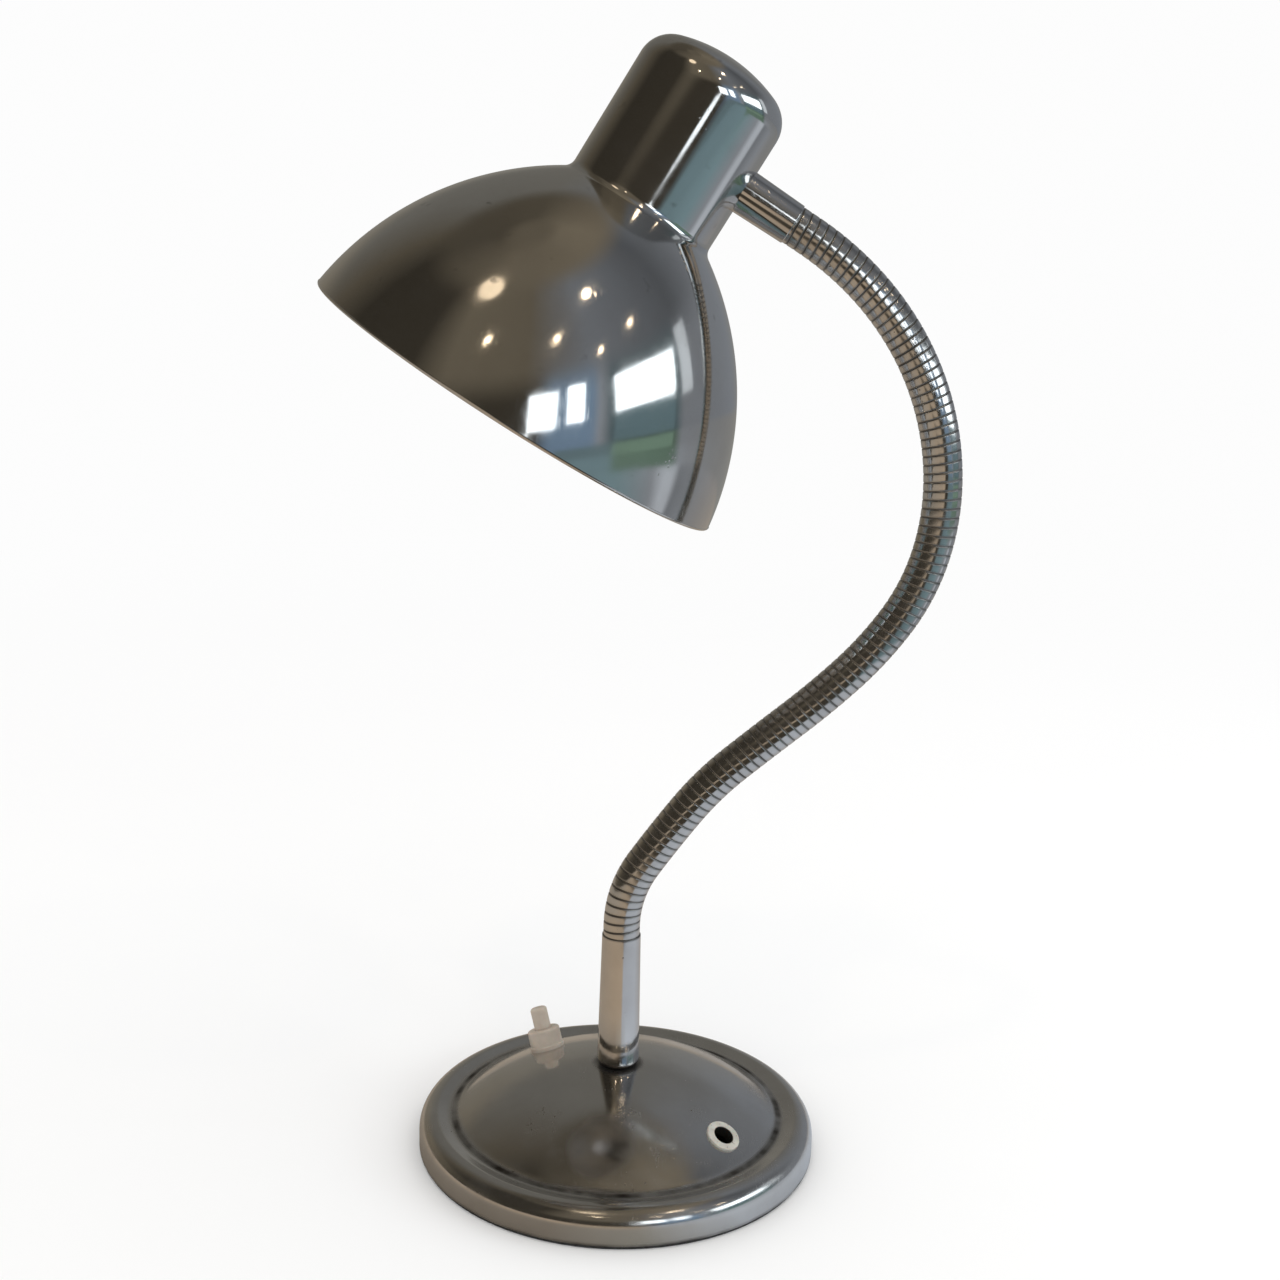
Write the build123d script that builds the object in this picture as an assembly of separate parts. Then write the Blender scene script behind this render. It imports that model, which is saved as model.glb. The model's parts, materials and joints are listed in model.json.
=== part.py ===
from build123d import *
import os
from math import cos, hypot, radians, sin, sqrt

os.makedirs("parts", exist_ok=True)

# Chromed desk lamp: a weighted domed base, a short stem, a gooseneck of wound turns and a spun shade.
# Millimetres. The origin is on the table under the middle of the base, +Z is up and the neck bulges
# towards +X, in the XZ plane.

# Fits and cuts
overrun = 2.0
seat_gap = 0.05
slide_gap = 0.08
turn_gap = 0.3
screw_thread_gap = 0.3

# Base shell
base_diameter = 160.0
base_wall = 1.5
rim_height = 14.7
rim_shoulder = 7.0
groove_diameter = 132.0
groove_height = 12.7
dome_sphere = 112.0

# Weight, plate, pad and screws under the shell
pad_thickness = 1.5
pad_inset = 0.8
plate_thickness = 1.5
plate_gap = 0.3
weight_diameter = 116.0
weight_gap = 0.3
weight_pocket_gap = 1.5
nut_recess_diameter = 30.0
nut_recess_depth = 9.0
wire_channel_width = 8.0
wire_channel_depth = 6.0
screw_circle = 84.0
screw_diameter = 4.0
screw_head = 7.5
screw_length = 11.0
screw_count = 3
screw_azimuth = 45.0

# Stem and the threaded tubes, nuts and washers of the whole lamp
stem_diameter = 17.0
stem_top_diameter = 15.4
stem_wall = 1.0
stem_height = 55.5
stem_foot_round = 2.0
stem_lip_round = 0.4
stem_plug = 14.0
nipple_diameter = 10.0
nipple_bore = 7.0
nipple_tail = 1.0
nut_flats = 14.0
nut_height = 5.0
washer_diameter = 20.0
washer_thickness = 1.6

# Push switch, along the normal of the dome
switch_azimuth = 140.0
switch_circle = 78.0
collar_diameter = 13.6
collar_height = 8.2
collar_flange = 14.4
collar_flange_height = 1.4
collar_top = 1.3
collar_round = 1.0
button_diameter = 7.0
button_height = 9.2
button_round = 1.2
button_flange = 11.0
button_flange_height = 1.5
switch_neck_diameter = 10.0
switch_neck_height = 6.6
switch_body_diameter = 17.0
switch_body_height = 15.0
switch_roof = 1.4
switch_floor = 2.0
switch_wall = 2.0
spring_wire = 0.8
spring_turns = 5
contact_ring_thickness = 0.6
contact_ring_hole = 5.0
terminal_diameter = 4.0
terminal_length = 4.0
terminal_spacing = 9.0
button_stop_gap = 0.1

# Bush in the cord hole, along the normal of the dome
bush_azimuth = -39.0
bush_circle = 107.0
bush_flange = 13.5
bush_flange_height = 1.0
bush_neck = 10.4
bush_bore = 7.6
bush_clip = 12.4
bush_clip_height = 2.0
bush_round = 0.5

# Gooseneck, as links of wound turns: the bend of each link at rest, in degrees, from the stem upwards
neck_diameter = 14.6
neck_bore = 6.8
turn_pitch = 3.45
turn_crest = 1.7
turn_depth = 0.6
turn_lap = 0.35
turns_per_link = 8
shank_depth = 11.0
link_bends = (34, 3, 12, 1, -5, -11, -19, -17, -15, -15, -14, -13)

# Upper ferrule and shade, along the axis of the shade
ferrule_diameter = 16.2
ferrule_end_diameter = 15.4
ferrule_length = 21.0
ferrule_rise = 26.0
shade_diameter = 169.0
shade_wall = 1.0
shade_height = 84.0
shade_curve = 118.0
cap_diameter = 58.0
cap_height = 61.5
cap_crown = 7.5
cap_round = 12.0
junction_round = 4.5
rim_roll = 1.1

# Lampholder and its bracket inside the cap
saddle_diameter = 18.0
saddle_thickness = 2.5
bracket_thickness = 1.5
bracket_width = 16.0
bracket_drop = 9.5
holder_nipple_depth = 8.0
holder_diameter = 40.0
holder_top = 26.0
holder_shoulder = 10.0
holder_height = 40.0
holder_floor = 12.0
holder_mouth_round = 1.5
thread_wall = 0.5
thread_height = 20.0
thread_setback = 4.0
contact_diameter = 18.0
contact_thickness = 1.0

# Bulb
lamp_thread = 26.6
lamp_thread_height = 22.5
lamp_cap_height = 26.0
lamp_tip = 6.0
lamp_tip_height = 1.2
lamp_insulator = 18.0
lamp_cap_wall = 0.6
bulb_diameter = 45.0
bulb_length = 78.0
bulb_neck = 25.0
glass_wall = 0.8

# Heights and radii that follow from the sizes above
base_radius = base_diameter / 2
groove_radius = groove_diameter / 2
dome_centre = groove_height - sqrt(dome_sphere**2 - groove_radius**2)
dome_top = dome_centre + dome_sphere
plate_top = pad_thickness + plate_thickness
stem_top = dome_top + stem_height
stem_bore = stem_top_diameter - 2 * stem_wall
neck_radius = neck_diameter / 2
groove_turn_radius = neck_radius - turn_depth
link_length = turns_per_link * turn_pitch
ball_radius = hypot(neck_radius, (turn_pitch + turn_crest) / 2)
socket_radius = ball_radius + turn_gap
crown_radius = hypot(groove_turn_radius, turn_pitch)
cap_radius = cap_diameter / 2
cap_bore_radius = cap_radius - shade_wall
ferrule_height = shade_height + ferrule_rise
bracket_top = ferrule_height - bracket_drop
holder_seat = bracket_top - bracket_thickness
holder_bore = lamp_thread + 2 * (screw_thread_gap + thread_wall + seat_gap)
holder_roof = holder_seat - holder_floor
lamp_base = holder_roof - contact_thickness

UP = (Align.CENTER, Align.CENTER, Align.MIN)
OUT = (Align.MIN, Align.CENTER, Align.MIN)


def post(diameter, low, high):
    """Round bar along Z between two heights."""
    return Pos(0, 0, low) * Cylinder(diameter / 2, high - low, align=UP)


def tube(diameter, bore, low, high):
    """Round bar with a hole right through it."""
    return post(diameter, low, high) - post(bore, low - overrun, high + overrun)


def taper(low_diameter, high_diameter, low, high):
    """Round bar along Z that changes evenly from one diameter to another."""
    return Pos(0, 0, low) * Cone(low_diameter / 2, high_diameter / 2, high - low, align=UP)


def turned(*outline):
    """Solid of revolution about Z from (radius, height) points joined by straight lines."""
    return revolve(make_face(Polyline(*[(r, 0, z) for r, z in outline], close=True)), Axis.Z)


def hex_nut(low):
    """Flat six-sided nut for the threaded tubes, standing on the height given."""
    blank = extrude(RegularPolygon(nut_flats / 2, 6, major_radius=False), nut_height)
    return Pos(0, 0, low) * (blank - post(nipple_diameter + 2 * seat_gap, -overrun, nut_height + overrun))


def threaded_tube(low, high):
    """Plain stand-in for a threaded lamp tube."""
    return tube(nipple_diameter, nipple_bore, low, high)


def save(name, shape):
    """Write one node."""
    export_step(shape, "parts/" + name + ".step")


# Base

def dome_height(radius, inset=0):
    """Height of the dome, or of the surface a wall below it, at a distance from the middle."""
    return dome_centre + sqrt((dome_sphere - inset) ** 2 - radius**2)


def base_body(inset, low):
    """Everything inside the outer face of the base shell, or inside its inner face."""
    side = base_radius - inset
    shoulder_middle = base_radius - rim_shoulder
    shoulder_foot = rim_height - rim_shoulder
    crest = rim_height - inset
    bend = (rim_shoulder - inset) * sqrt(1 / 2)
    groove = (groove_radius, 0, dome_height(groove_radius, inset))
    dome_middle = (groove_radius / 2, 0, dome_height(groove_radius / 2, inset))
    top = (0, 0, dome_top - inset)
    outline = [
        Polyline(top, (0, 0, low), (side, 0, low), (side, 0, shoulder_foot)),
        ThreePointArc(
            (side, 0, shoulder_foot),
            (shoulder_middle + bend, 0, shoulder_foot + bend),
            (shoulder_middle, 0, crest),
        ),
        Line((shoulder_middle, 0, crest), groove),
        ThreePointArc(groove, dome_middle, top),
    ]
    return revolve(make_face(outline), Axis.Z)


def on_dome(circle, azimuth):
    """Place on the dome whose Z axis is the outward normal of the dome."""
    radius = circle / 2
    across = (cos(radians(azimuth)), sin(radians(azimuth)))
    height = dome_height(radius)
    point = (radius * across[0], radius * across[1], height)
    normal = (point[0], point[1], height - dome_centre)
    return Plane(point, x_dir=(-across[1], across[0], 0), z_dir=normal).location


def under_shell(diameter):
    """Height below the face of the dome where a flat ring meets the hollow side of the shell."""
    inner = dome_sphere - base_wall
    return -base_wall - seat_gap - inner + sqrt(inner**2 - (diameter / 2) ** 2)


switch_place = on_dome(switch_circle, switch_azimuth)
bush_place = on_dome(bush_circle, bush_azimuth)


def make_base_shell():
    shell = base_body(0, pad_thickness) - base_body(base_wall, pad_thickness - overrun)
    shell -= post(nipple_diameter + 2 * seat_gap, 0, dome_top + overrun)
    reach = base_wall + overrun
    shell -= switch_place * post(switch_neck_diameter + 2 * seat_gap, -reach, reach)
    shell -= bush_place * post(bush_neck + 2 * seat_gap, -reach, reach)
    return shell


def make_weight():
    """Cast weight that fills the shell, with pockets for the switch and the bush and a wire channel."""
    weight = base_body(base_wall + weight_gap, plate_top)
    weight &= post(weight_diameter, plate_top, dome_top)
    weight -= post(nipple_diameter + 2 * seat_gap, 0, dome_top)
    weight -= post(nut_recess_diameter, plate_top - overrun, plate_top + nut_recess_depth)
    for place, width, circle, azimuth in (
        (switch_place, switch_body_diameter, switch_circle, switch_azimuth),
        (bush_place, bush_clip, bush_circle, bush_azimuth),
    ):
        weight -= place * post(width + 2 * weight_pocket_gap, -dome_top, overrun)
        channel = Box(circle / 2, wire_channel_width, wire_channel_depth + overrun, align=OUT)
        weight -= Rot(0, 0, azimuth) * Pos(0, 0, plate_top - overrun) * channel
    for place in screw_places():
        weight -= place * post(screw_diameter + 2 * seat_gap, 0, screw_length + overrun)
    return weight


def screw_places():
    """Feet of the screws on the underside of the plate."""
    ring = PolarLocations(screw_circle / 2, screw_count, start_angle=screw_azimuth)
    return [Pos(0, 0, pad_thickness) * place for place in ring]


def screw(gap):
    """Countersunk screw standing on its head, or the hole for it with a gap all round."""
    head = screw_head / 2 + gap
    shank = screw_diameter / 2 + gap
    return turned((0, 0), (head, 0), (shank, plate_thickness), (shank, screw_length), (0, screw_length))


def make_plate():
    plate = post(base_diameter - 2 * (base_wall + plate_gap), pad_thickness, plate_top)
    for place in screw_places():
        plate -= place * screw(seat_gap)
    return plate


def make_base():
    save("base_shell", make_base_shell())
    save("ballast_weight", make_weight())
    save("bottom_plate", make_plate())
    save("bottom_screws", Compound(children=[place * screw(0) for place in screw_places()]))
    save("felt_pad", post(base_diameter - 2 * pad_inset, 0, pad_thickness))


# Stem

def make_stem():
    stem = taper(stem_diameter, stem_top_diameter, dome_top, stem_top)
    stem = fillet(stem.edges().group_by(Axis.Z)[0], stem_foot_round)
    stem = fillet(stem.edges().group_by(Axis.Z)[-1], stem_lip_round)
    stem -= post(nipple_diameter + 2 * seat_gap, dome_top - overrun, stem_top)
    stem -= post(stem_bore, dome_top + stem_plug, stem_top + overrun)
    washer_top = plate_top + nut_recess_depth
    nut_top = washer_top - washer_thickness
    nut_low = nut_top - nut_height
    save("stem_tube", stem)
    save("stem_washer", tube(washer_diameter, nipple_diameter + 2 * seat_gap, nut_top, washer_top))
    save("stem_nut", hex_nut(nut_low))
    save("stem_nipple", threaded_tube(nut_low - nipple_tail, dome_top + stem_plug))


# Push switch, with heights counted from the face of the dome

def make_switch():
    bore = button_diameter + 2 * slide_gap
    chamber = switch_body_diameter - 2 * switch_wall
    seat = under_shell(switch_body_diameter)
    roof = seat - switch_roof
    foot = seat - switch_body_height
    floor = foot + switch_floor
    flange_top = roof - button_stop_gap
    flange_low = flange_top - button_flange_height
    spring_low = floor + contact_ring_thickness
    button_top = collar_height + button_height

    body = post(switch_body_diameter, foot, seat) + post(switch_neck_diameter, foot, switch_neck_height)
    body -= post(bore, floor, switch_neck_height + overrun)
    body -= post(chamber, floor, roof)
    save("switch_body", switch_place * body)

    collar = post(collar_diameter, 0, collar_height)
    collar = fillet(collar.edges().group_by(Axis.Z)[-1], collar_round)
    collar += post(collar_flange, 0, collar_flange_height)
    collar -= post(switch_neck_diameter + 2 * seat_gap, -overrun, collar_height - collar_top)
    collar -= post(bore, 0, collar_height + overrun)
    save("switch_collar", switch_place * collar)

    button = post(button_diameter, flange_low, button_top)
    button = fillet(button.edges().group_by(Axis.Z)[-1], button_round)
    button += post(button_flange, flange_low, flange_top)
    save("switch_button", switch_place * button)

    ring = tube(chamber - 2 * seat_gap, contact_ring_hole, floor, spring_low)
    save("switch_contact", switch_place * ring)

    coil = (button_flange - 2 * spring_wire) / 2
    rise = flange_low - spring_low - spring_wire - 2 * seat_gap
    path = Helix(rise / spring_turns, rise, coil)
    wire = sweep(Plane(path @ 0, z_dir=path % 0) * Circle(spring_wire / 2), path)
    spring = Pos(0, 0, spring_low + spring_wire / 2 + seat_gap) * wire
    save("switch_spring", switch_place * spring)

    pins = [Pos(x, 0, 0) * post(terminal_diameter, foot - terminal_length, foot)
            for x in (-terminal_spacing / 2, terminal_spacing / 2)]
    save("switch_terminals", switch_place * Compound(children=pins))


# Bush in the cord hole

def make_bush():
    clip_top = under_shell(bush_clip)
    clip_low = clip_top - bush_clip_height
    bush = post(bush_flange, 0, bush_flange_height)
    bush = fillet(bush.edges().group_by(Axis.Z)[-1], bush_round)
    bush += post(bush_neck, clip_low, 0)
    bush += post(bush_clip, clip_low, clip_top)
    bush -= post(bush_bore, clip_low - overrun, bush_flange_height + overrun)
    save("cord_grommet", bush_place * bush)


# Gooseneck

def bend_on(start, angle, bend, length):
    """Point and direction after an arc in the XZ plane. Directions are degrees from +Z towards +X."""
    half = radians(bend) / 2
    chord = length * (sin(half) / half if half else 1)
    heading = radians(angle) + half
    return (start[0] + chord * sin(heading), start[1] + chord * cos(heading)), angle + bend


def place_at(point, angle):
    """Place in the neck whose Z axis runs along it."""
    return Pos(point[0], 0, point[1]) * Rot(0, angle, 0)


def one_turn():
    """One wound turn: a flat crest with a slope each side that runs on into the neighbouring turns."""
    slope = turn_depth / ((turn_pitch - turn_crest) / 2)
    end = turn_pitch / 2 + turn_lap
    low = groove_turn_radius - slope * turn_lap
    crest = turn_crest / 2
    return turned((0, -end), (low, -end), (neck_radius, -crest), (neck_radius, crest), (low, end), (0, end))


def ball_end():
    """The last turn of a link, above its joint, with the rounded crown that the next link rides on."""
    crown = Sphere(crown_radius) & post(neck_diameter, turn_pitch, neck_diameter)
    return Pos(0, 0, turn_pitch / 2) * one_turn() + crown


def link_bore(start, angle, bend, length):
    """Wire hole along the link, run straight on past both ends."""
    middle = bend_on(start, angle, bend / 2, length / 2)[0]
    end, end_angle = bend_on(start, angle, bend, length)
    arc = ThreePointArc((start[0], 0, start[1]), (middle[0], 0, middle[1]), (end[0], 0, end[1]))
    hole = sweep(place_at(start, angle) * Circle(neck_bore / 2), arc)
    hole += place_at(end, end_angle) * post(neck_bore, 0, neck_diameter)
    return hole


def neck_link(start, angle, bend):
    """One link: a row of turns along an arc, a socket round the joint below and a ball above the next."""
    turns = []
    for turn in range(1, turns_per_link):
        share = (turn + 1 / 2) / turns_per_link
        turns.append(place_at(*bend_on(start, angle, bend * share, link_length * share)) * one_turn())
    end, end_angle = bend_on(start, angle, bend, link_length)
    link = Part() + turns + place_at(end, end_angle) * ball_end()
    link -= place_at(start, angle) * Sphere(socket_radius)
    return link - link_bore(start, angle, bend, link_length)


def make_neck():
    """Both fixed ends and the links between them. Returns the last joint and the direction there."""
    shank = stem_bore - 2 * seat_gap
    half_turn = turn_pitch / 2
    lower = Pos(0, 0, half_turn) * one_turn() + Pos(0, 0, turn_pitch) * ball_end()
    lower += post(shank, -shank_depth, 0)
    lower -= post(neck_bore, -shank_depth - overrun, neck_diameter)
    save("neck_lower_end", Pos(0, 0, stem_top) * lower)

    joint = (0, stem_top + turn_pitch)
    angle = 0
    for number, bend in enumerate(link_bends, 1):
        save(f"neck_link_{number:02d}", neck_link(joint, angle, bend))
        joint, angle = bend_on(joint, angle, bend, link_length)

    upper = Pos(0, 0, turn_pitch + half_turn) * one_turn()
    upper += post(shank, 2 * turn_pitch, 2 * turn_pitch + shank_depth)
    upper -= Sphere(socket_radius)
    upper -= post(neck_bore, 0, 2 * turn_pitch + shank_depth + overrun)
    save("neck_upper_end", place_at(joint, angle) * upper)
    return joint, angle


# Head: worked out upright, with the rim plane at Z = 0 and the neck coming in from +X

def shade_body(inset, low):
    """Everything inside the outer face of the shade, or inside its inner face."""
    rim = shade_diameter / 2
    run = rim - cap_radius
    chord = hypot(run, shade_height)
    depth = sqrt(shade_curve**2 - (chord / 2) ** 2)
    centre = ((rim + cap_radius) / 2 - depth * shade_height / chord, shade_height / 2 - depth * run / chord)
    curve = shade_curve - inset
    side = cap_radius - inset
    foot = centre[0] + sqrt(curve**2 - centre[1] ** 2)
    neck = centre[1] + sqrt(curve**2 - (side - centre[0]) ** 2)
    middle = centre[1] + (neck - centre[1]) / 2
    edge = shade_height + cap_height - cap_crown - inset
    crown = shade_height + cap_height - inset
    crown_curve = (side**2 + cap_crown**2) / (2 * cap_crown)
    half_crown = crown - crown_curve + sqrt(crown_curve**2 - (side / 2) ** 2)
    outline = make_face([
        Polyline((0, 0, crown), (0, 0, low), (foot, 0, low), (foot, 0, 0)) if low else
        Polyline((0, 0, crown), (0, 0, 0), (foot, 0, 0)),
        ThreePointArc(
            (foot, 0, 0),
            (centre[0] + sqrt(curve**2 - (middle - centre[1]) ** 2), 0, middle),
            (side, 0, neck),
        ),
        Line((side, 0, neck), (side, 0, edge)),
        ThreePointArc((side, 0, edge), (side / 2, 0, half_crown), (0, 0, crown)),
    ])
    face = outline.face()
    face = face.fillet_2d(junction_round + inset, [face.vertices().sort_by_distance((side, 0, neck))[0]])
    face = face.fillet_2d(cap_round - inset, [face.vertices().sort_by_distance((side, 0, edge))[0]])
    return revolve(face, Axis.Z)


def make_shade():
    shade = shade_body(0, 0) - shade_body(shade_wall, -overrun)
    shade += Pos(0, 0, rim_roll) * Torus(shade_diameter / 2 - rim_roll, rim_roll)
    hole = Pos(0, 0, ferrule_height) * Rot(0, 90, 0) * post(nipple_diameter + 2 * seat_gap, 0, cap_diameter)
    return shade - hole


def make_ferrule():
    """Sleeve that widens from the gooseneck to the cap, its end shaped to the side of the cap."""
    far = cap_radius + ferrule_length
    sleeve = post(ferrule_diameter, 0, cap_radius)
    sleeve += taper(ferrule_diameter, ferrule_end_diameter, cap_radius, far)
    sleeve -= post(stem_bore, far - shank_depth - overrun, far + overrun)
    sleeve -= post(nipple_diameter + 2 * seat_gap, 0, far)
    sleeve = Pos(0, 0, ferrule_height) * Rot(0, 90, 0) * sleeve
    return sleeve - post(cap_diameter + 2 * seat_gap, 0, shade_height + cap_height)


def make_head():
    wall = cap_bore_radius
    leg_face = wall - saddle_thickness
    nut_face = leg_face - bracket_thickness
    nut_end = nut_face - nut_height
    across = Pos(0, 0, ferrule_height) * Rot(0, 90, 0)
    hole = nipple_diameter + 2 * seat_gap

    saddle = across * tube(saddle_diameter, hole, leg_face, cap_radius)
    saddle &= post(2 * (wall - seat_gap), 0, shade_height + cap_height)
    bracket = Pos(nut_face, 0, bracket_top) * Box(bracket_thickness, bracket_width, bracket_drop, align=OUT)
    bracket += across * post(bracket_width, nut_face, leg_face)
    bracket += Pos(0, 0, holder_seat) * Box(leg_face, bracket_width, bracket_thickness, align=OUT)
    bracket += post(bracket_width, holder_seat, bracket_top)
    heel = bracket.edges().filter_by(Axis.Y).sort_by_distance((leg_face, 0, holder_seat))[0]
    bracket = fillet(heel, bracket_thickness)
    bracket -= across * post(hole, 0, cap_radius) + post(hole, holder_seat - overrun, bracket_top + overrun)

    holder_nut_top = bracket_top + nut_height
    nuts = [across * hex_nut(nut_end), hex_nut(bracket_top)]

    body = turned(
        (0, holder_seat), (holder_top / 2, holder_seat), (holder_diameter / 2, holder_seat - holder_shoulder),
        (holder_diameter / 2, holder_seat - holder_height), (0, holder_seat - holder_height))
    body = fillet(body.edges().group_by(Axis.Z)[0], holder_mouth_round)
    body -= post(holder_bore, holder_seat - holder_height - overrun, holder_roof)
    body -= post(hole, holder_roof - overrun, holder_seat + overrun)

    thread_low = holder_seat - holder_height + thread_setback
    thread_high = thread_low + thread_height
    thread = tube(holder_bore - 2 * seat_gap, lamp_thread + 2 * screw_thread_gap, thread_low, thread_high)
    contact = post(contact_diameter, lamp_base, holder_roof)

    pieces = {
        "upper_ferrule": make_ferrule(),
        "shade": make_shade(),
        "saddle_washer": saddle,
        "head_nipple": across * threaded_tube(nut_end - nipple_tail, cap_radius + ferrule_length - shank_depth),
        "head_nuts": Compound(children=nuts),
        "holder_bracket": bracket,
        "holder_nipple": threaded_tube(holder_seat - holder_nipple_depth, holder_nut_top + nipple_tail),
        "lampholder_body": body,
        "lampholder_thread": thread,
        "lampholder_contact": contact,
        "bulb_cap": make_bulb_cap(),
        "bulb_glass": make_bulb_glass(),
    }
    return pieces


def make_bulb_cap():
    """Screw cap of the bulb, tip upwards against the contact, hollow towards the glass."""
    seat = lamp_base - lamp_cap_height
    shoulder = seat + lamp_thread_height
    tip = lamp_base - lamp_tip_height
    roof = tip - lamp_cap_wall
    thread = lamp_thread / 2
    bore = thread - lamp_cap_wall
    dome_bore = lamp_insulator / 2 - lamp_cap_wall
    cap = turned(
        (0, lamp_base), (lamp_tip / 2, lamp_base), (lamp_tip / 2, tip), (lamp_insulator / 2, tip),
        (thread, shoulder), (thread, seat), (0, seat))
    low = seat - overrun
    return cap - turned((0, roof), (dome_bore, roof), (bore, shoulder - lamp_cap_wall), (bore, low), (0, low))


def bulb_half(inset, high):
    """Half section of the bulb: a ball with a cone tangent to it that runs up to the cap."""
    ball = bulb_diameter / 2 - inset
    neck = bulb_neck / 2 - inset
    middle = lamp_base - bulb_length + bulb_diameter / 2
    seat = lamp_base - lamp_cap_height
    reach = hypot(neck, seat - middle)
    lean = (seat - middle) / reach
    side = neck / reach
    along = ball / reach
    rise = sqrt(1 - along**2)
    out = (along * side + rise * lean, along * lean - rise * side)
    touch = (ball * out[0], 0, middle + ball * out[1])
    return make_face([
        Line((0, 0, middle - ball), (0, 0, high)),
        Polyline((0, 0, high), (neck, 0, high), (neck, 0, seat), touch) if high > seat else
        Polyline((0, 0, high), (neck, 0, high), touch),
        ThreePointArc(touch, (ball, 0, middle), (0, 0, middle - ball)) if touch[2] > middle else
        RadiusArc(touch, (0, 0, middle - ball), -ball),
    ])


def make_bulb_glass():
    seat = lamp_base - lamp_cap_height
    return revolve(bulb_half(0, seat), Axis.Z) - revolve(bulb_half(glass_wall, seat + overrun), Axis.Z)


make_base()
make_stem()
make_switch()
make_bush()
last_joint, last_angle = make_neck()

# The upper end of the neck runs along the head's -X, so the head leans by what the neck lacks of a right angle
head_reach = 2 * turn_pitch + ferrule_length + cap_radius
head_place = place_at(last_joint, last_angle) * Pos(0, 0, head_reach) * Rot(0, 90, 0) * Pos(0, 0, -ferrule_height)
for name, piece in make_head().items():
    save(name, head_place * piece)
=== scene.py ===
"""Looks of the chromed desk lamp: smooth turned surfaces, the wound neck and the finishes of every piece.

Metres, in the frame of the solids: the origin is on the table under the middle of the base, +Z is up and
the neck bulges towards +X, in the XZ plane.
"""
import json
from math import asin, atan2, cos, hypot, pi, radians, sin, sqrt

import bpy
import numpy as np
from mathutils import Matrix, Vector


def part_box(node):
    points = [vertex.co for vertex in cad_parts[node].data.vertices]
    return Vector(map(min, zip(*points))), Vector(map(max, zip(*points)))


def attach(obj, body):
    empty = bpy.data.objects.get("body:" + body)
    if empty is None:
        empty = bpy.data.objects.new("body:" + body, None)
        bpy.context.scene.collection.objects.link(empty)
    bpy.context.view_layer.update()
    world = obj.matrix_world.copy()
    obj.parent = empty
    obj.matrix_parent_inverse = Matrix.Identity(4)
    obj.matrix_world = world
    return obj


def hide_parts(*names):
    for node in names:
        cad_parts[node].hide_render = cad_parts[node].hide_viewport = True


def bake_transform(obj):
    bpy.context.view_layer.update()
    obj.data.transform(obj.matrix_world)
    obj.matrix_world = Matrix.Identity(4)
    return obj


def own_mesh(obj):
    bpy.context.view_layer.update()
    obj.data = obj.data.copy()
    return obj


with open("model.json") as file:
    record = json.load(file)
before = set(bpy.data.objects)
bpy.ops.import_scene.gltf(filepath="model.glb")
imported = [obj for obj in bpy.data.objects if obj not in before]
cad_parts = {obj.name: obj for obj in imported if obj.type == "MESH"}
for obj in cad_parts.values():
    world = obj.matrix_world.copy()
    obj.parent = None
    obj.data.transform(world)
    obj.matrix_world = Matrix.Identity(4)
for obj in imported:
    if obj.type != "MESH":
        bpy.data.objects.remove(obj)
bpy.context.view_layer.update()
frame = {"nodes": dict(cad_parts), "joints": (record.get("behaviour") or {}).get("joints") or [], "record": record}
nodes = frame["nodes"]
joints = frame["joints"]
mounts = {mount["name"]: mount for mount in frame["record"]["mounts"]}

# Base
base_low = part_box("base_shell")[0].z
base_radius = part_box("base_shell")[1].x
base_wall = 0.0015
rim_height = 0.0147
rim_shoulder = 0.007
groove_radius = 0.066
groove_height = 0.0127
groove_round = 0.0009
dome_sphere = 0.112
dome_centre = groove_height - sqrt(dome_sphere**2 - groove_radius**2)
dome_top = dome_centre + dome_sphere
pad_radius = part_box("felt_pad")[1].x
pad_edge = 0.0003

# Stem
stem_radius = 0.0085
stem_top_radius = 0.0077
stem_foot_round = 0.002
stem_lip_round = 0.0004
stem_bore_radius = 0.0067
stem_plug = 0.014
stem_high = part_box("stem_tube")[1].z
tube_bore_radius = 0.00505

# Push switch and bush, both along the normal of the dome
press = next(joint for joint in joints if joint["type"] == "slide")
switch_normal = -np.array(press["axis"])
bush_normal = np.array(mounts["cord_inlet"]["axis"])
collar_radius = 0.0068
collar_height = 0.0082
collar_flange_radius = 0.0072
collar_flange_height = 0.0014
collar_top = 0.0013
collar_round = 0.001
collar_edge_round = 0.0003
collar_foot_round = 0.0002
switch_neck_radius = 0.00505
button_radius = 0.0035
button_bore_radius = 0.00358
button_stand = 0.0092
button_top = collar_height + button_stand
button_round = 0.0012
button_dish = 0.0004
button_dish_reach_share = 0.55
button_dish_depth_share = 0.6
button_dish_round = 0.002
button_flange_radius = 0.0055
button_flange_height = 0.0015
button_flange_round = 0.0002
switch_body_radius = 0.0085
switch_body_height = 0.015
switch_roof = 0.0014
switch_floor = 0.002
contact_ring_thickness = 0.0006
spring_wire = 0.0008
spring_turns = 5
button_stop_gap = 0.0001
bush_flange_radius = 0.00675
bush_flange_height = 0.001
bush_neck_radius = 0.0052
bush_clip_radius = 0.0062
bush_clip_height = 0.002
bush_bore_radius = mounts["cord_inlet"]["dims"]["r_mm"] / 1000
bush_round = 0.0005
bush_mouth_round = 0.0004
bush_clip_round = 0.0002
bush_end_round = 0.0003
seat_gap = 0.00005

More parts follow.
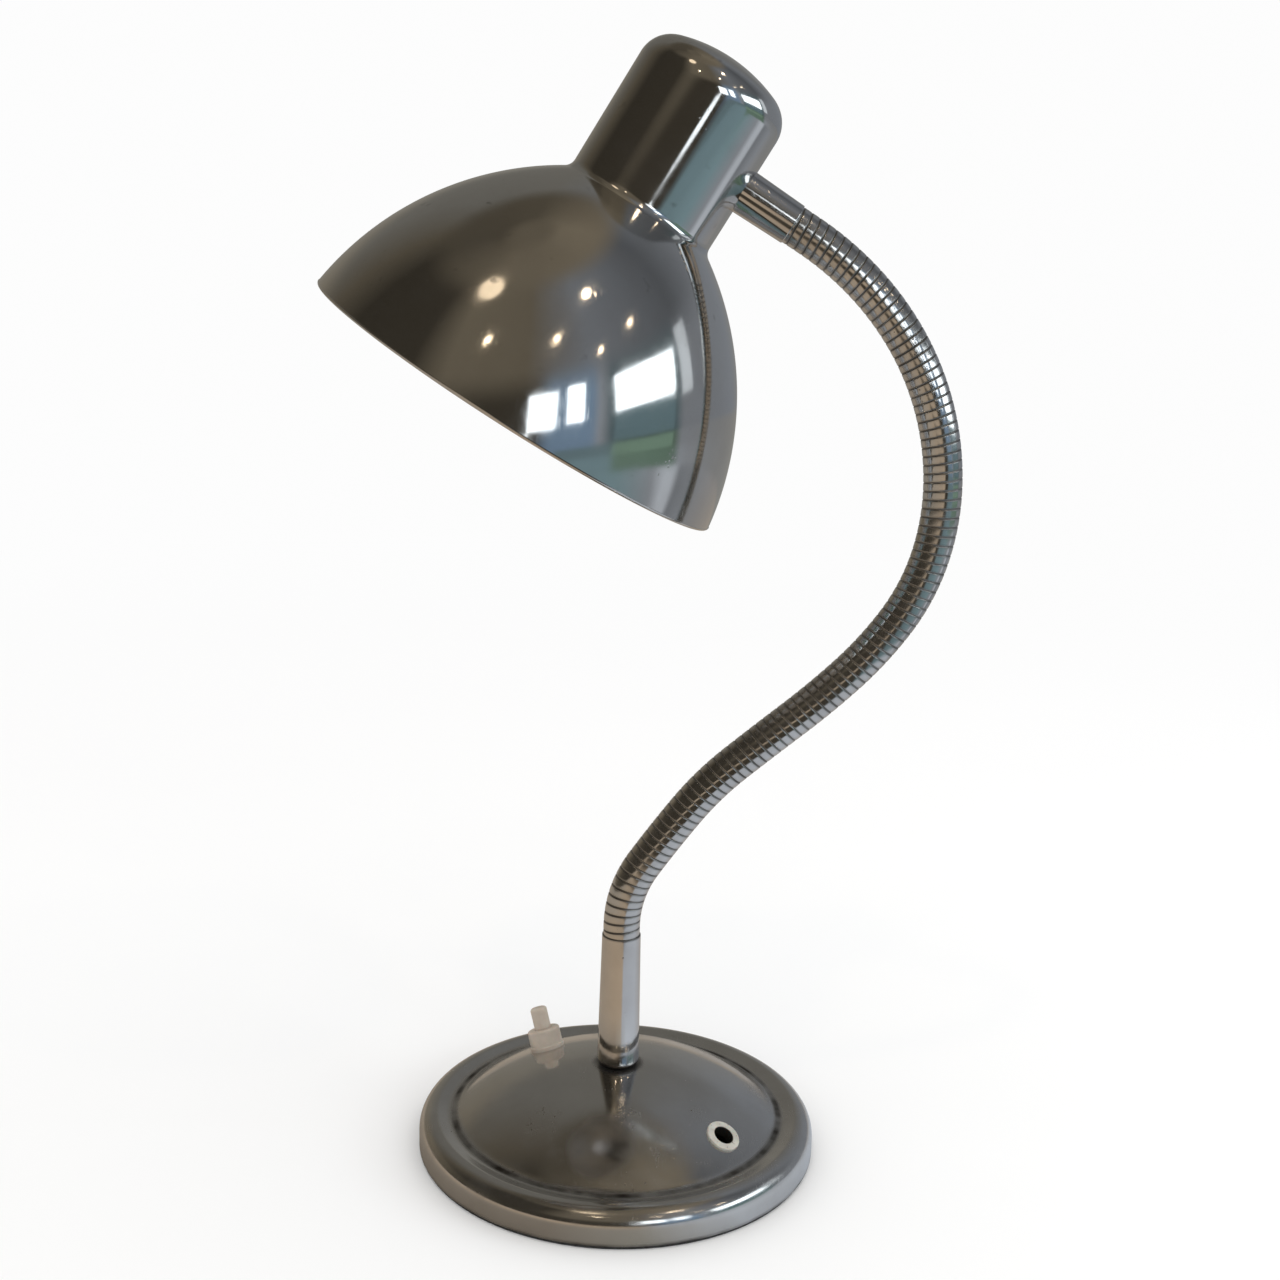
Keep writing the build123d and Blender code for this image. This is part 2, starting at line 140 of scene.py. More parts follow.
# Neck
neck_radius = 0.0073
neck_bore_radius = 0.0034
lower_end_turns = 1
upper_end_turns = 2
turn_pitch = 0.00345
turn_depth = 0.00022
turn_sag_share = 0.1
turn_groove_share = 0.26
turn_row_shares = np.array((1.0, 0.93, 0.87, 0.81, 0.77, 0.74, 0.68, 0.35))
# Tarnish and painted shade in the grooves of the neck: its strength, and the shares across a turn where it starts
# and is full
turn_tarnish_and_shade = 0.82
turn_tarnish_and_shade_shares = (0.60, 0.88)

# Head, along the axis of the shade
ferrule_radius = 0.0081
ferrule_end_radius = 0.0077
ferrule_length = 0.021
ferrule_rise = 0.026
ferrule_round = 0.0004
ferrule_seat_lap = 0.0003
ferrule_mouth_depth = 0.004
shade_radius = 0.0845
shade_wall = 0.001
shade_height = 0.084
shade_curve = 0.118
cap_radius = 0.029
cap_height = 0.0615
cap_crown = 0.0075
cap_round = 0.012
junction_round = 0.0045
rim_roll = 0.0011
rim_roll_arc = 1.25 * pi
rim_roll_cut_share = 1.7

# Bulb and lampholder
bracket_drop = 0.0095
bracket_thickness = 0.0015
holder_floor = 0.012
contact_thickness = 0.001
lamp_cap_height = 0.026
bulb_radius = 0.0225
bulb_neck_radius = 0.0125
bulb_length = 0.078
glass_wall = 0.0008

# Camera, from the outline of the base and the shade in the photograph
camera_place = (0.0, -0.6014, 0.3376)
camera_pitch = radians(12.01)
camera_roll = radians(1.72)
camera_yaw = radians(0.37)
camera_lens = 45.0
camera_sensor = 36.0

# Fineness of the meshes: columns round an axis, steps along a run of an outline, and spacings of its points
tiny = 1e-7
sharp_turn = radians(40)
corner_steps = 8
base_columns = 256
dome_steps = 60
slope_steps = 8
shoulder_steps = 24
side_steps = 8
pad_columns = 192
pad_spacing = 0.002
stem_columns = 96
stem_spacing = 0.0008
moulded_columns = 72
moulded_spacing = 0.0006
button_columns = 64
spring_columns = 12
spring_turn_rows = 48
neck_columns = 64
shade_columns = 240
crown_steps = 16
cap_corner_steps = 18
cap_side_steps = 26
hollow_steps = 12
bell_steps = 84
roll_steps = 18
ferrule_columns = 72
ferrule_steps = 30
lip_steps = 8
bulb_columns = 96
ball_steps = 40
cone_steps = 20

# Dirt and painted shade, by the distances from its seat between which they change
groove_dirt_and_shade = (0.0004, 0.0022)
stem_ring_dirt_and_shade = 0.003
rim_foot_dirt_and_shade = 0.0015
stem_foot_shade = (0.001, 0.0032)
stem_lip_shade = (0.0012, 0.0002)
bush_bore_shade = (0.0001, 0.0004)
moulded_foot_shade = 0.004


# Grids, outlines and meshes

def unit(vector):
    """The vector at a length of 1."""
    return np.asarray(vector, float) / np.linalg.norm(vector)


def dome_point(normal):
    """Point on the outer face of the dome that has this normal."""
    return np.array((0, 0, dome_centre)) + normal * dome_sphere


def place_along(origin, axis):
    """Matrix whose Z axis is the axis given and whose X axis lies level, or along Y for an upright axis."""
    up = unit(axis)
    level = np.cross(up, (0, 0, 1))
    across = unit(level) if np.linalg.norm(level) > tiny else np.array((0.0, 1.0, 0.0))
    matrix = np.eye(4)
    matrix[:3, :3] = np.stack((across, np.cross(up, across), up), 1)
    matrix[:3, 3] = origin
    return matrix


def line(start, end, count):
    """Points from start to end, without the last."""
    share = np.linspace(0, 1, count, endpoint=False)[:, None]
    return np.asarray(start) * (1 - share) + np.asarray(end) * share


def arc(centre, radius, start, end, count):
    """Points round a centre from one angle to another, without the last."""
    angle = np.linspace(start, end, count, endpoint=False)
    return np.asarray(centre) + radius * np.stack((np.cos(angle), np.sin(angle)), 1)


def rounded(corners, spacing, closed=False):
    """Outline through corners (radius, height, round): straight runs, with an arc in each corner.

    Points of a run lie no further apart than the spacing. An arc touches both runs, and its middle lies on
    the inside of the turn.
    """
    points = np.array([corner[:2] for corner in corners], float)
    rounds = [corner[2] for corner in corners]
    count = len(points)
    runs = []
    for k in range(count):
        if not closed and k in (0, count - 1):
            runs.append(points[k:k + 1])
            continue
        before, corner, after = points[k - 1], points[k], points[(k + 1) % count]
        into, out = unit(corner - before), unit(after - corner)
        side = np.sign(into[0] * out[1] - into[1] * out[0]) or 1.0
        turn = np.arccos(np.clip(into @ out, -1, 1))
        reach = rounds[k] * np.tan(turn / 2)
        normal = side * np.array((-into[1], into[0]))
        middle = corner - into * reach + normal * rounds[k]
        angle = np.linspace(0, turn, corner_steps + 1 if rounds[k] else 1)[:, None]
        runs.append(middle + rounds[k] * (np.sin(angle) * into - np.cos(angle) * normal))
    ends = runs[1:] + (runs[:1] if closed else [])
    filled = []
    for run, following in zip(runs, ends):
        gap = np.linalg.norm(following[0] - run[-1])
        filled += [run[:-1], line(run[-1], following[0], max(1, int(np.ceil(gap / spacing))))]
    if not closed:
        filled.append(runs[-1])
    return np.concatenate(filled)


def quads(numbers):
    """Faces of a grid whose points carry these numbers."""
    corners = numbers[:-1, :-1], numbers[:-1, 1:], numbers[1:, 1:], numbers[1:, :-1]
    return np.stack(corners, -1).reshape(-1, 4)


def make_piece(name, points, faces, values=None, flow=None):
    """Smooth mesh from numbered points and four-cornered faces.

    A face with a repeated corner becomes a triangle, one with fewer corners is dropped, and a closed mesh
    that is inside out is turned round. values is a number for each point, kept as a point attribute: painted
    shade and tarnish on the neck, the unpolished inside on the shade. flow is two numbers for each corner of a
    face, kept as its UV map. Edges that turn sharply stay crisp.
    """
    again = faces == np.roll(faces, -1, 1)
    keep = again.sum(1) < 2
    faces, again = faces[keep], again[keep]
    used, faces = np.unique(faces, return_inverse=True)
    faces = faces.reshape(-1, 4)
    points = points[used]
    first, second, third = points[faces[:, 0]], points[faces[:, 1]], points[faces[:, 2]]
    fourth = points[faces[:, 3]]
    volume = (first * np.cross(second, third)).sum() + (first * np.cross(third, fourth)).sum()
    flow = None if flow is None else flow.reshape(-1, 4, 2)[keep]
    if volume < 0:
        faces, again = faces[:, ::-1], np.roll(again[:, ::-1], -1, 1)
        flow = None if flow is None else flow[:, ::-1]
    corners = faces[~again]
    sizes = 4 - again.sum(1)
    mesh = bpy.data.meshes.new(name)
    mesh.vertices.add(len(points))
    mesh.vertices.foreach_set("co", points.astype(np.float32).ravel())
    mesh.loops.add(len(corners))
    mesh.loops.foreach_set("vertex_index", corners.astype(np.int32))
    mesh.polygons.add(len(faces))
    mesh.polygons.foreach_set("loop_start", (np.cumsum(sizes) - sizes).astype(np.int32))
    mesh.update(calc_edges=True)
    mesh.polygons.foreach_set("use_smooth", np.ones(len(faces), bool))
    if flow is not None:
        mesh.uv_layers.new(name="turning").data.foreach_set("uv", flow[~again].astype(np.float32).ravel())
    if values is not None:
        painted_shade_and_dull = mesh.attributes.new("painted_shade_and_dull", "FLOAT", "POINT")
        painted_shade_and_dull.data.foreach_set("value", values[used].astype(np.float32))
    mesh.set_sharp_from_angle(angle=sharp_turn)
    piece = bpy.data.objects.new(name, mesh)
    bpy.context.scene.collection.objects.link(piece)
    return piece


def placed(local, matrix):
    """Points of a frame as a list of points in the frame of the solids."""
    return (local @ matrix[:3, :3].T + matrix[:3, 3]).reshape(-1, 3)


def around(outline, columns, matrix):
    """Points of a surface of revolution, row by row.

    A point is radius times (cos, sin) of its column's angle across the axis, and height along it.
    """
    angle = np.linspace(0, 2 * pi, columns, endpoint=False)
    rows = outline[:, None, :]
    local = np.stack((rows[..., 0] * np.cos(angle), rows[..., 0] * np.sin(angle),
                      np.broadcast_to(rows[..., 1], (len(outline), columns))), -1)
    return placed(local, matrix)


def turned_numbers(outline, columns, closed=False):
    """Point numbers of a surface of revolution, wrapped round; a row that meets the axis has one number."""
    row = np.arange(len(outline))[:, None] * columns
    column = np.arange(columns + 1)[None, :] % columns
    numbers = row + np.where(outline[:, :1] < tiny, 0, column)
    return np.concatenate((numbers, numbers[:1])) if closed else numbers


def turned(name, outline, matrix, columns, closed=False, values=None):
    """Piece turned from an outline of (radius, height), with a UV map that runs round and along it.

    values is a number for each point of the outline, as in make_piece.
    """
    numbers = turned_numbers(outline, columns, closed)
    step = np.linalg.norm(np.diff(outline, axis=0, append=outline[:1]), axis=1)
    along = np.concatenate(([0], np.cumsum(step)))[:len(numbers)]
    flow = np.stack(np.broadcast_arrays(np.linspace(0, 1, columns + 1)[None, :], along[:, None]), -1)
    corners = flow[:-1, :-1], flow[:-1, 1:], flow[1:, 1:], flow[1:, :-1]
    values = None if values is None else np.repeat(values, columns)
    return make_piece(name, around(outline, columns, matrix), quads(numbers), values, np.stack(corners, 2))


def walled(outer, inner, faces):
    """Points and faces of a closed wall: two sheets with the same faces, joined along their open edges."""
    edges = np.stack((faces, np.roll(faces, -1, 1)), -1).reshape(-1, 2)
    edges = edges[edges[:, 0] != edges[:, 1]]
    _, number, count = np.unique(np.sort(edges, 1), axis=0, return_inverse=True, return_counts=True)
    start, end = edges[count[number.ravel()] == 1].T
    shift = len(outer)
    sides = np.stack((end, start, start + shift, end + shift), 1)
    return np.concatenate((outer, inner)), np.concatenate((faces, faces[:, ::-1] + shift, sides))


def cut_hole(points, faces, origin, axis, radius):
    """Drop the faces inside a round hole and pull the points left inside it out to its edge."""
    offset = points - origin
    across = offset - (offset @ axis)[:, None] * axis
    distance = np.linalg.norm(across, axis=1)
    near = (distance < radius) & (np.abs(offset @ axis) < radius)
    faces = faces[~near[faces].all(1)]
    pull = np.where(near, radius / np.maximum(distance, tiny) - 1, 0)
    return points + across * pull[:, None], faces


def finish_piece(piece, material, body, slot, *stands_for):
    """Give a piece its finish, its body and the solids that it stands for."""
    piece.data.materials.append(material)
    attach(piece, body)
    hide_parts(*stands_for)
    return piece


# Materials

class Nodes:
    """Short calls for building a node tree."""

    def __init__(self, tree):
        """Keep the tree that the calls add to."""
        self.tree = tree

    def add(self, kind, **inputs):
        """New node; a keyword sets the property that it names, or else sets or links the socket."""
        node = self.tree.nodes.new(kind)
        for key, value in inputs.items():
            if hasattr(node, key):
                setattr(node, key, value)
                continue
            name = key.replace("_", " ")
            socket = next(s for s in node.inputs if s.enabled and s.name.lower() == name.lower())
            self.feed(socket, value)
        return node

    def feed(self, socket, value):
        """Link a socket to another one, or give it a value of its own."""
        if isinstance(value, bpy.types.NodeSocket):
            self.tree.links.new(value, socket)
        else:
            socket.default_value = value

    def math(self, operation, first, second=0.0, clamp=False):
        """Result of one step of arithmetic."""
        node = self.tree.nodes.new("ShaderNodeMath")
        node.operation = operation
        node.use_clamp = clamp
        self.feed(node.inputs[0], first)
        self.feed(node.inputs[1], second)
        return node.outputs[0]

    def span(self, value, low, high, to_low=0.0, to_high=1.0):
        """Value from low to high brought to another range, smoothly and clamped."""
        node = self.tree.nodes.new("ShaderNodeMapRange")
        node.interpolation_type = "SMOOTHSTEP"
        for socket, given in zip(node.inputs, (value, low, high, to_low, to_high)):
            self.feed(socket, given)
        return node.outputs[0]

    def mix(self, share, first, second):
        """Mix of two colours."""
        node = self.tree.nodes.new("ShaderNodeMix")
        node.data_type = "RGBA"
        self.feed(node.inputs[0], share)
        self.feed(node.inputs[6], first)
        self.feed(node.inputs[7], second)
        return node.outputs[2]

    def reach(self, axes):
        """Distance from the upright axis through the origin."""
        squares = [self.math("POWER", axes[name], 2.0) for name in "XY"]
        return self.math("SQRT", self.math("ADD", *squares))

    def bump(self, height, strength, distance):
        """Normal of a surface that a height makes uneven."""
        return self.add("ShaderNodeBump", Height=height, Strength=strength, Distance=distance).outputs[0]

    def noise(self, vector, scale, detail=3.0, roughness=0.5):
        """Noise from about 0 to 1 over a place, finer for a larger scale."""
        node = self.tree.nodes.new("ShaderNodeTexNoise")
        self.feed(node.inputs["Vector"], vector)
        for name, value in (("Scale", scale), ("Detail", detail), ("Roughness", roughness)):
            self.feed(node.inputs[name], value)
        return node.outputs["Fac"]


def grey(value, red=1.0, green=1.0, blue=1.0):
    """Colour of a brightness, with a factor for each of its parts."""
    return (value * red, value * green, value * blue, 1.0)


def new_group(name, inputs, outputs):
    """Empty shader node group with sockets {name: (kind, value)} and {name: kind}."""
    tree = bpy.data.node_groups.new(name, "ShaderNodeTree")
    for label, (kind, value) in inputs.items():
        socket = tree.interface.new_socket(label, in_out="INPUT", socket_type="NodeSocket" + kind)
        if value is not None:
            socket.default_value = value
    for label, kind in outputs.items():
        tree.interface.new_socket(label, in_out="OUTPUT", socket_type="NodeSocket" + kind)
    given, out = tree.nodes.new("NodeGroupInput"), tree.nodes.new("NodeGroupOutput")
    return tree, Nodes(tree), given.outputs, out.inputs


def tarnish_group():
    """Old plating: cloudy haze, wiped streaks, small pits and dark specks, from the place on the object."""
    smear_share, pit_stain_share = 0.4, 0.75
    pit_size, pit_edge, pit_roughness = 0.26, 0.1, 0.35
    grain_height = 0.25
    tree, make, given, out = new_group(
        "tarnish",
        {"Vector": ("Vector", None), "Clear": ("Color", grey(0.6)), "Stain": ("Color", grey(0.2)),
         "Polish": ("Float", 0.06), "Haze": ("Float", 0.2), "Pits": ("Float", 0.5)},
        {"Color": "Color", "Roughness": "Float", "Height": "Float"})
    cloud = make.span(make.noise(given["Vector"], scale=28.0, detail=5.0, roughness=0.6), 0.38, 0.72)
    smear = make.span(make.noise(given["Vector"], scale=95.0, detail=4.0, roughness=0.65), 0.42, 0.75)
    haze = make.math("ADD", make.math("MULTIPLY", cloud, 1 - smear_share),
                     make.math("MULTIPLY", smear, smear_share))
    cells = make.add("ShaderNodeTexVoronoi", Vector=given["Vector"], Scale=420.0, Randomness=1.0)
    chance = make.noise(given["Vector"], scale=60.0, detail=2.0)
    size = make.math("MULTIPLY", make.span(chance, 0.5, 0.75), pit_size)
    pit = make.span(make.math("SUBTRACT", size, cells.outputs["Distance"]), 0.0, pit_edge)
    pit = make.math("MULTIPLY", pit, given["Pits"], True)
    stain = make.math("ADD", make.math("MULTIPLY", cloud, 1 - pit_stain_share),
                      make.math("MULTIPLY", pit, pit_stain_share), True)
    make.feed(out["Color"], make.mix(stain, given["Clear"], given["Stain"]))
    rough = make.math("ADD", given["Polish"], make.math("MULTIPLY", haze, given["Haze"]))
    make.feed(out["Roughness"], make.math("ADD", rough, make.math("MULTIPLY", pit, pit_roughness), True))
    fine = make.noise(given["Vector"], scale=240.0, detail=2.0)
    make.feed(out["Height"], make.math("SUBTRACT", make.math("MULTIPLY", fine, grain_height), pit))
    return tree


def scratch_group():
    """Fine wiping scratches: thin lines where two stretched noises cross a level, in two directions."""
    tree, make, given, out = new_group(
        "scratches", {"Vector": ("Vector", None), "Amount": ("Float", 0.5)}, {"Mask": "Float"})
    line_width, across_scale = 0.006, 0.8
    turn_shares = np.array((1.0, 0.7, 1.3))
    found = None
    for turn, stretch in ((0.5, 14.0), (2.1, 11.0)):
        mapping = make.add("ShaderNodeMapping", Vector=given["Vector"], Rotation=tuple(turn * turn_shares),
                           Scale=(stretch, across_scale, across_scale))
        level = make.noise(mapping.outputs[0], scale=55.0, detail=2.0)
        from_line = make.math("ABSOLUTE", make.math("SUBTRACT", level, 0.5))
        lines = make.span(from_line, 0.0, line_width, to_low=1.0, to_high=0.0)
        gate = make.span(make.noise(given["Vector"], scale=40.0 * turn, detail=2.0), 0.52, 0.66)
        lines = make.math("MULTIPLY", lines, gate)
        found = lines if found is None else make.math("MAXIMUM", found, lines)
    make.feed(out["Mask"], make.math("MULTIPLY", found, given["Amount"], True))
    return tree


def new_material(name, **sockets):
    """Material with a Principled BSDF whose plain sockets are set here."""
    material = bpy.data.materials.new(name)
    material.use_nodes = True
    make = Nodes(material.node_tree)
    shader = material.node_tree.nodes["Principled BSDF"]
    for key, value in sockets.items():
        shader.inputs[key.replace("_", " ")].default_value = value
    return material, make, shader.inputs


tarnish = tarnish_group()
scratches = scratch_group()


def object_place(make):
    """Place on a piece, in the frame of the solids."""
    return make.add("ShaderNodeTexCoord").outputs["Object"]


def piece_painted_shade_and_dull(make):
    """The point attribute of a piece: painted shade and tarnish on the neck, the unpolished inside on the shade.
    """
    return make.add("ShaderNodeAttribute", attribute_name="painted_shade_and_dull").outputs["Fac"]


def chrome(name, clear, stain, polish, haze, pits, scratched, spin=0.0, dirt_and_shade=None, dull=0.0):
    """Old chrome plate. The function given for dirt takes (make, place) and gives a mask of dirt and painted
    shade by the place on the piece, and dull is the roughness where the piece's point attribute is 1."""
    material, make, shader = new_material(name, Metallic=1.0, Anisotropic=spin, Anisotropic_Rotation=0.25)
    place = object_place(make)
    plate = make.add("ShaderNodeGroup", node_tree=tarnish, Vector=place, Clear=clear, Stain=stain,
                     Polish=polish, Haze=haze, Pits=pits).outputs
    marks = make.add("ShaderNodeGroup", node_tree=scratches, Vector=place, Amount=scratched).outputs["Mask"]
    color = plate["Color"]
    rough = make.math("ADD", plate["Roughness"], make.math("MULTIPLY", marks, scratch_roughness))
    if dirt_and_shade:
        # Dirt and painted shade, as the mask function gives them, turn the plate dark brown and rough
        dirt_and_shade_mask = dirt_and_shade(make, place)
        color = make.mix(dirt_and_shade_mask, color, dirt_and_shade_brown)
        rough = make.math("ADD", rough, make.math("MULTIPLY", dirt_and_shade_mask, dirt_and_shade_roughness), True)
    if dull:
        rough = make.math("MAXIMUM", rough, make.math("MULTIPLY", piece_painted_shade_and_dull(make), dull))
    make.feed(shader["Base Color"], color)
    make.feed(shader["Roughness"], rough)
    height = make.math("SUBTRACT", plate["Height"], marks)
    make.feed(shader["Normal"], make.bump(height, strength=0.12, distance=0.0002))
    if spin:
        lay = make.add("ShaderNodeTangent", direction_type="UV_MAP", uv_map="turning")
        make.feed(shader["Tangent"], lay.outputs[0])
    return material


def base_dirt_and_shade(make, place):
    """Dirt and painted shade in the groove ring, round the foot of the stem and along the foot of the rim."""
    axes = make.add("ShaderNodeSeparateXYZ", Vector=place).outputs
    radius = make.reach(axes)
    patchy = make.span(make.noise(place, scale=70.0, detail=4.0), 0.3, 0.7, to_low=0.35, to_high=1.0)
    from_groove = make.math("ABSOLUTE", make.math("SUBTRACT", radius, groove_radius))
    groove = make.span(from_groove, *groove_dirt_and_shade, to_low=1.0, to_high=0.0)
    foot = make.span(radius, stem_radius, stem_radius + stem_ring_dirt_and_shade, to_low=0.8, to_high=0.0)
    low = make.span(axes["Z"], base_low, base_low + rim_foot_dirt_and_shade, to_low=0.9, to_high=0.0)
    dirt_and_shade_mask = make.math("MAXIMUM", make.math("MAXIMUM", groove, foot), low)
    return make.math("MULTIPLY", dirt_and_shade_mask, patchy)


def stem_painted_shade(make, place):
    """Painted shade: a dark line at the foot of the stem, where it meets the dome, and a darkening below its lip,
    where the neck sits.
    """
    height = make.add("ShaderNodeSeparateXYZ", Vector=place).outputs["Z"]
    foot = make.span(height, *(dome_top + rise for rise in stem_foot_shade), to_low=0.9, to_high=0.0)
    lip = make.span(height, *(stem_high - drop for drop in stem_lip_shade), to_low=0.0, to_high=0.7)
    return make.math("MAXIMUM", foot, lip)


def neck_tarnish_and_shade(make, place):
    """Tarnish and painted shade in the grooves between the turns of the neck and in its bore, as its point
    attribute marks them, broken up along the neck.
    """
    patchy = make.span(make.noise(place, scale=55.0, detail=4.0), 0.25, 0.75, to_low=0.7, to_high=1.0)
    return make.math("MULTIPLY", piece_painted_shade_and_dull(make), patchy)


def shade_grime(make, place):
    """Faint specks of dirt, where a fine noise is high."""
    return make.span(make.noise(place, scale=130.0), 0.66, 0.8, to_low=0.0, to_high=0.35)


def bush_shade_and_chips(make, place):
    """Painted shade inside the bore of the bush, by the distance from its axis, and chipped specks on its flange.

    The distance is the length of the cross product of the axis and the way from a point on it.
    """
    offset = make.add("ShaderNodeVectorMath", operation="SUBTRACT")
    make.feed(offset.inputs[0], place)
    offset.inputs[1].default_value = tuple(dome_point(bush_normal))
    across = make.add("ShaderNodeVectorMath", operation="CROSS_PRODUCT")
    make.feed(across.inputs[0], offset.outputs[0])
    across.inputs[1].default_value = tuple(bush_normal)
    length = make.add("ShaderNodeVectorMath", operation="LENGTH")
    make.feed(length.inputs[0], across.outputs[0])
    bore_shade_reach = [bush_bore_radius + width for width in bush_bore_shade]
    bore = make.span(length.outputs["Value"], *bore_shade_reach, to_low=1.0, to_high=0.0)
    chips = make.span(make.noise(place, scale=900.0, detail=2.0), 0.62, 0.70, to_low=0.0, to_high=0.7)
    return make.math("MAXIMUM", bore, chips)


def ivory(name, color, shadow, low, dirt_and_shade=None):
    """Aged moulded plastic: yellowed in clouds, with painted shade from its low end up, faintly mottled."""
    material, make, shader = new_material(
        name, Specular_IOR_Level=0.5, Subsurface_Weight=0.15, Subsurface_Scale=0.002)
    place = object_place(make)
    height = make.add("ShaderNodeSeparateXYZ", Vector=place).outputs["Z"]
    cloud = make.span(make.noise(place, scale=160.0, detail=4.0), 0.35, 0.7, to_high=0.35)
    foot_shade = make.span(height, low, low + moulded_foot_shade, to_low=0.55, to_high=0.0)
    stain = make.math("MAXIMUM", cloud, foot_shade)
    aged = make.mix(stain, color, shadow)
    # Painted shade in a bore and chipped specks, mixed in near black
    if dirt_and_shade:
        aged = make.mix(dirt_and_shade(make, place), aged, shade_and_chip_black)
    make.feed(shader["Base Color"], aged)
    rough = make.span(make.noise(place, scale=300.0), 0.3, 0.7, to_low=0.32, to_high=0.5)
    make.feed(shader["Roughness"], rough)
    make.feed(shader["Normal"], make.bump(make.noise(place, scale=700.0), strength=0.15, distance=0.0002))
    return material


def speckled(name, color, other, scale, rough, bump_height, metallic=0.0, bump_scale=None):
    """Finish of two colours in fine grains, for cast, moulded, felted and plated inner pieces."""
    spread = 0.2
    material, make, shader = new_material(name, Metallic=metallic)
    place = object_place(make)
    grain = make.noise(place, scale, detail=6.0, roughness=0.65)
    make.feed(shader["Base Color"], make.mix(make.span(grain, 0.35, 0.68), color, other))
    mottle = make.noise(place, scale / 5)
    make.feed(shader["Roughness"], make.span(mottle, 0.3, 0.7, rough * (1 - spread), rough * (1 + spread)))
    height = make.noise(place, bump_scale or scale, detail=5.0, roughness=0.7)
    make.feed(shader["Normal"], make.bump(height, strength=0.6, distance=bump_height))
    return material


def frosted_glass(name):
    """Bulb glass etched on the inside."""
    material, make, shader = new_material(name, Base_Color=grey(0.93), Transmission_Weight=0.75, IOR=1.46)
    place = object_place(make)
    rough = make.span(make.noise(place, scale=260.0, detail=4.0), 0.3, 0.7, to_low=0.34, to_high=0.46)
    make.feed(shader["Roughness"], rough)
    etching = make.noise(place, scale=1500.0, detail=2.0)
    make.feed(shader["Normal"], make.bump(etching, strength=0.1, distance=0.0001))
    return material


scratch_roughness = 0.2
# Roughness and dark brown of dirt and painted shade on the plating, and the near black of painted shade in a bore
dirt_and_shade_roughness = 0.35
dirt_and_shade_brown = grey(0.05, 1.0, 0.85, 0.68)
shade_and_chip_black = grey(0.012, 1.0, 0.85, 0.7)
tube_plate = grey(0.66, 1.0, 0.98, 0.96)
tube_stain = grey(0.30, 1.0, 0.88, 0.76)
chrome_base = chrome(
    "chrome_base", grey(0.60, 1.0, 0.985, 0.96), grey(0.30, 1.0, 0.9, 0.78),
    polish=0.10, haze=0.22, pits=1.0, scratched=0.35, spin=0.3, dirt_and_shade=base_dirt_and_shade)
chrome_shade = chrome(
    "chrome_shade", grey(0.62, 1.0, 0.985, 0.955), grey(0.40, 1.0, 0.92, 0.82),
    polish=0.07, haze=0.08, pits=0.35, scratched=0.06, spin=0.35, dirt_and_shade=shade_grime, dull=0.45)
chrome_tube = chrome(
    "chrome_tube", tube_plate, tube_stain, polish=0.06, haze=0.12, pits=0.9, scratched=0.5, dirt_and_shade=stem_painted_shade)
chrome_sleeve = chrome(
    "chrome_sleeve", tube_plate, tube_stain, polish=0.06, haze=0.12, pits=0.6, scratched=0.4)
chrome_neck = chrome(
    "chrome_neck", grey(0.64, 1.0, 0.98, 0.95), grey(0.22, 1.0, 0.82, 0.64),
    polish=0.08, haze=0.14, pits=0.6, scratched=0.3, dirt_and_shade=neck_tarnish_and_shade)
ivory_plastic = ivory(
    "ivory_plastic", grey(0.50, 1.0, 0.86, 0.71), grey(0.28, 1.0, 0.82, 0.64), low=0.027)
bush_plastic = ivory(
    "bush_plastic", grey(0.52, 1.0, 0.97, 0.86), grey(0.18, 1.0, 0.9, 0.8), low=0.012, dirt_and_shade=bush_shade_and_chips)
felt = speckled(
    "felt", grey(0.018), grey(0.045), scale=900.0, rough=0.95, bump_height=0.0004)
cast_weight = speckled(
    "cast_weight", grey(0.10), grey(0.06, 1.0, 0.8, 0.6),
    scale=350.0, rough=0.7, bump_height=0.0005, metallic=0.8)
plain_steel = speckled(
    "plain_steel", grey(0.52), grey(0.40, 1.0, 0.97, 0.9),
    scale=160.0, rough=0.34, bump_height=0.00005, metallic=1.0, bump_scale=900.0)
dark_phenolic = speckled(
    "dark_phenolic", grey(0.030, 1.0, 0.8, 0.65), grey(0.018), scale=500.0, rough=0.28, bump_height=0.00004)
brass = speckled(
    "brass", grey(0.72, 1.0, 0.76, 0.38), grey(0.50, 1.0, 0.72, 0.4),
    scale=220.0, rough=0.3, bump_height=0.00005, metallic=1.0, bump_scale=900.0)
bulb_cap_metal = speckled(
    "bulb_cap_metal", grey(0.66, 1.0, 0.95, 0.82), grey(0.5, 1.0, 0.9, 0.75),
    scale=300.0, rough=0.3, bump_height=0.00004, metallic=1.0)
bulb_glass = frosted_glass("bulb_glass")
finishes = dict(
    chrome_base=chrome_base, chrome_shade=chrome_shade, chrome_tube=chrome_tube, chrome_neck=chrome_neck,
    cast_weight=cast_weight, plain_steel=plain_steel, felt=felt, ivory_plastic=ivory_plastic,
    bush_plastic=bush_plastic, dark_phenolic=dark_phenolic, brass=brass, bulb_cap_metal=bulb_cap_metal,
    bulb_glass=bulb_glass)


def dress_solids():
    """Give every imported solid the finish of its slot."""
    for row in frame["record"]["subparts"]:
        node = nodes[row["node"]]
        node.data.materials.clear()
        node.data.materials.append(finishes[row["material_slot"]])


# Base

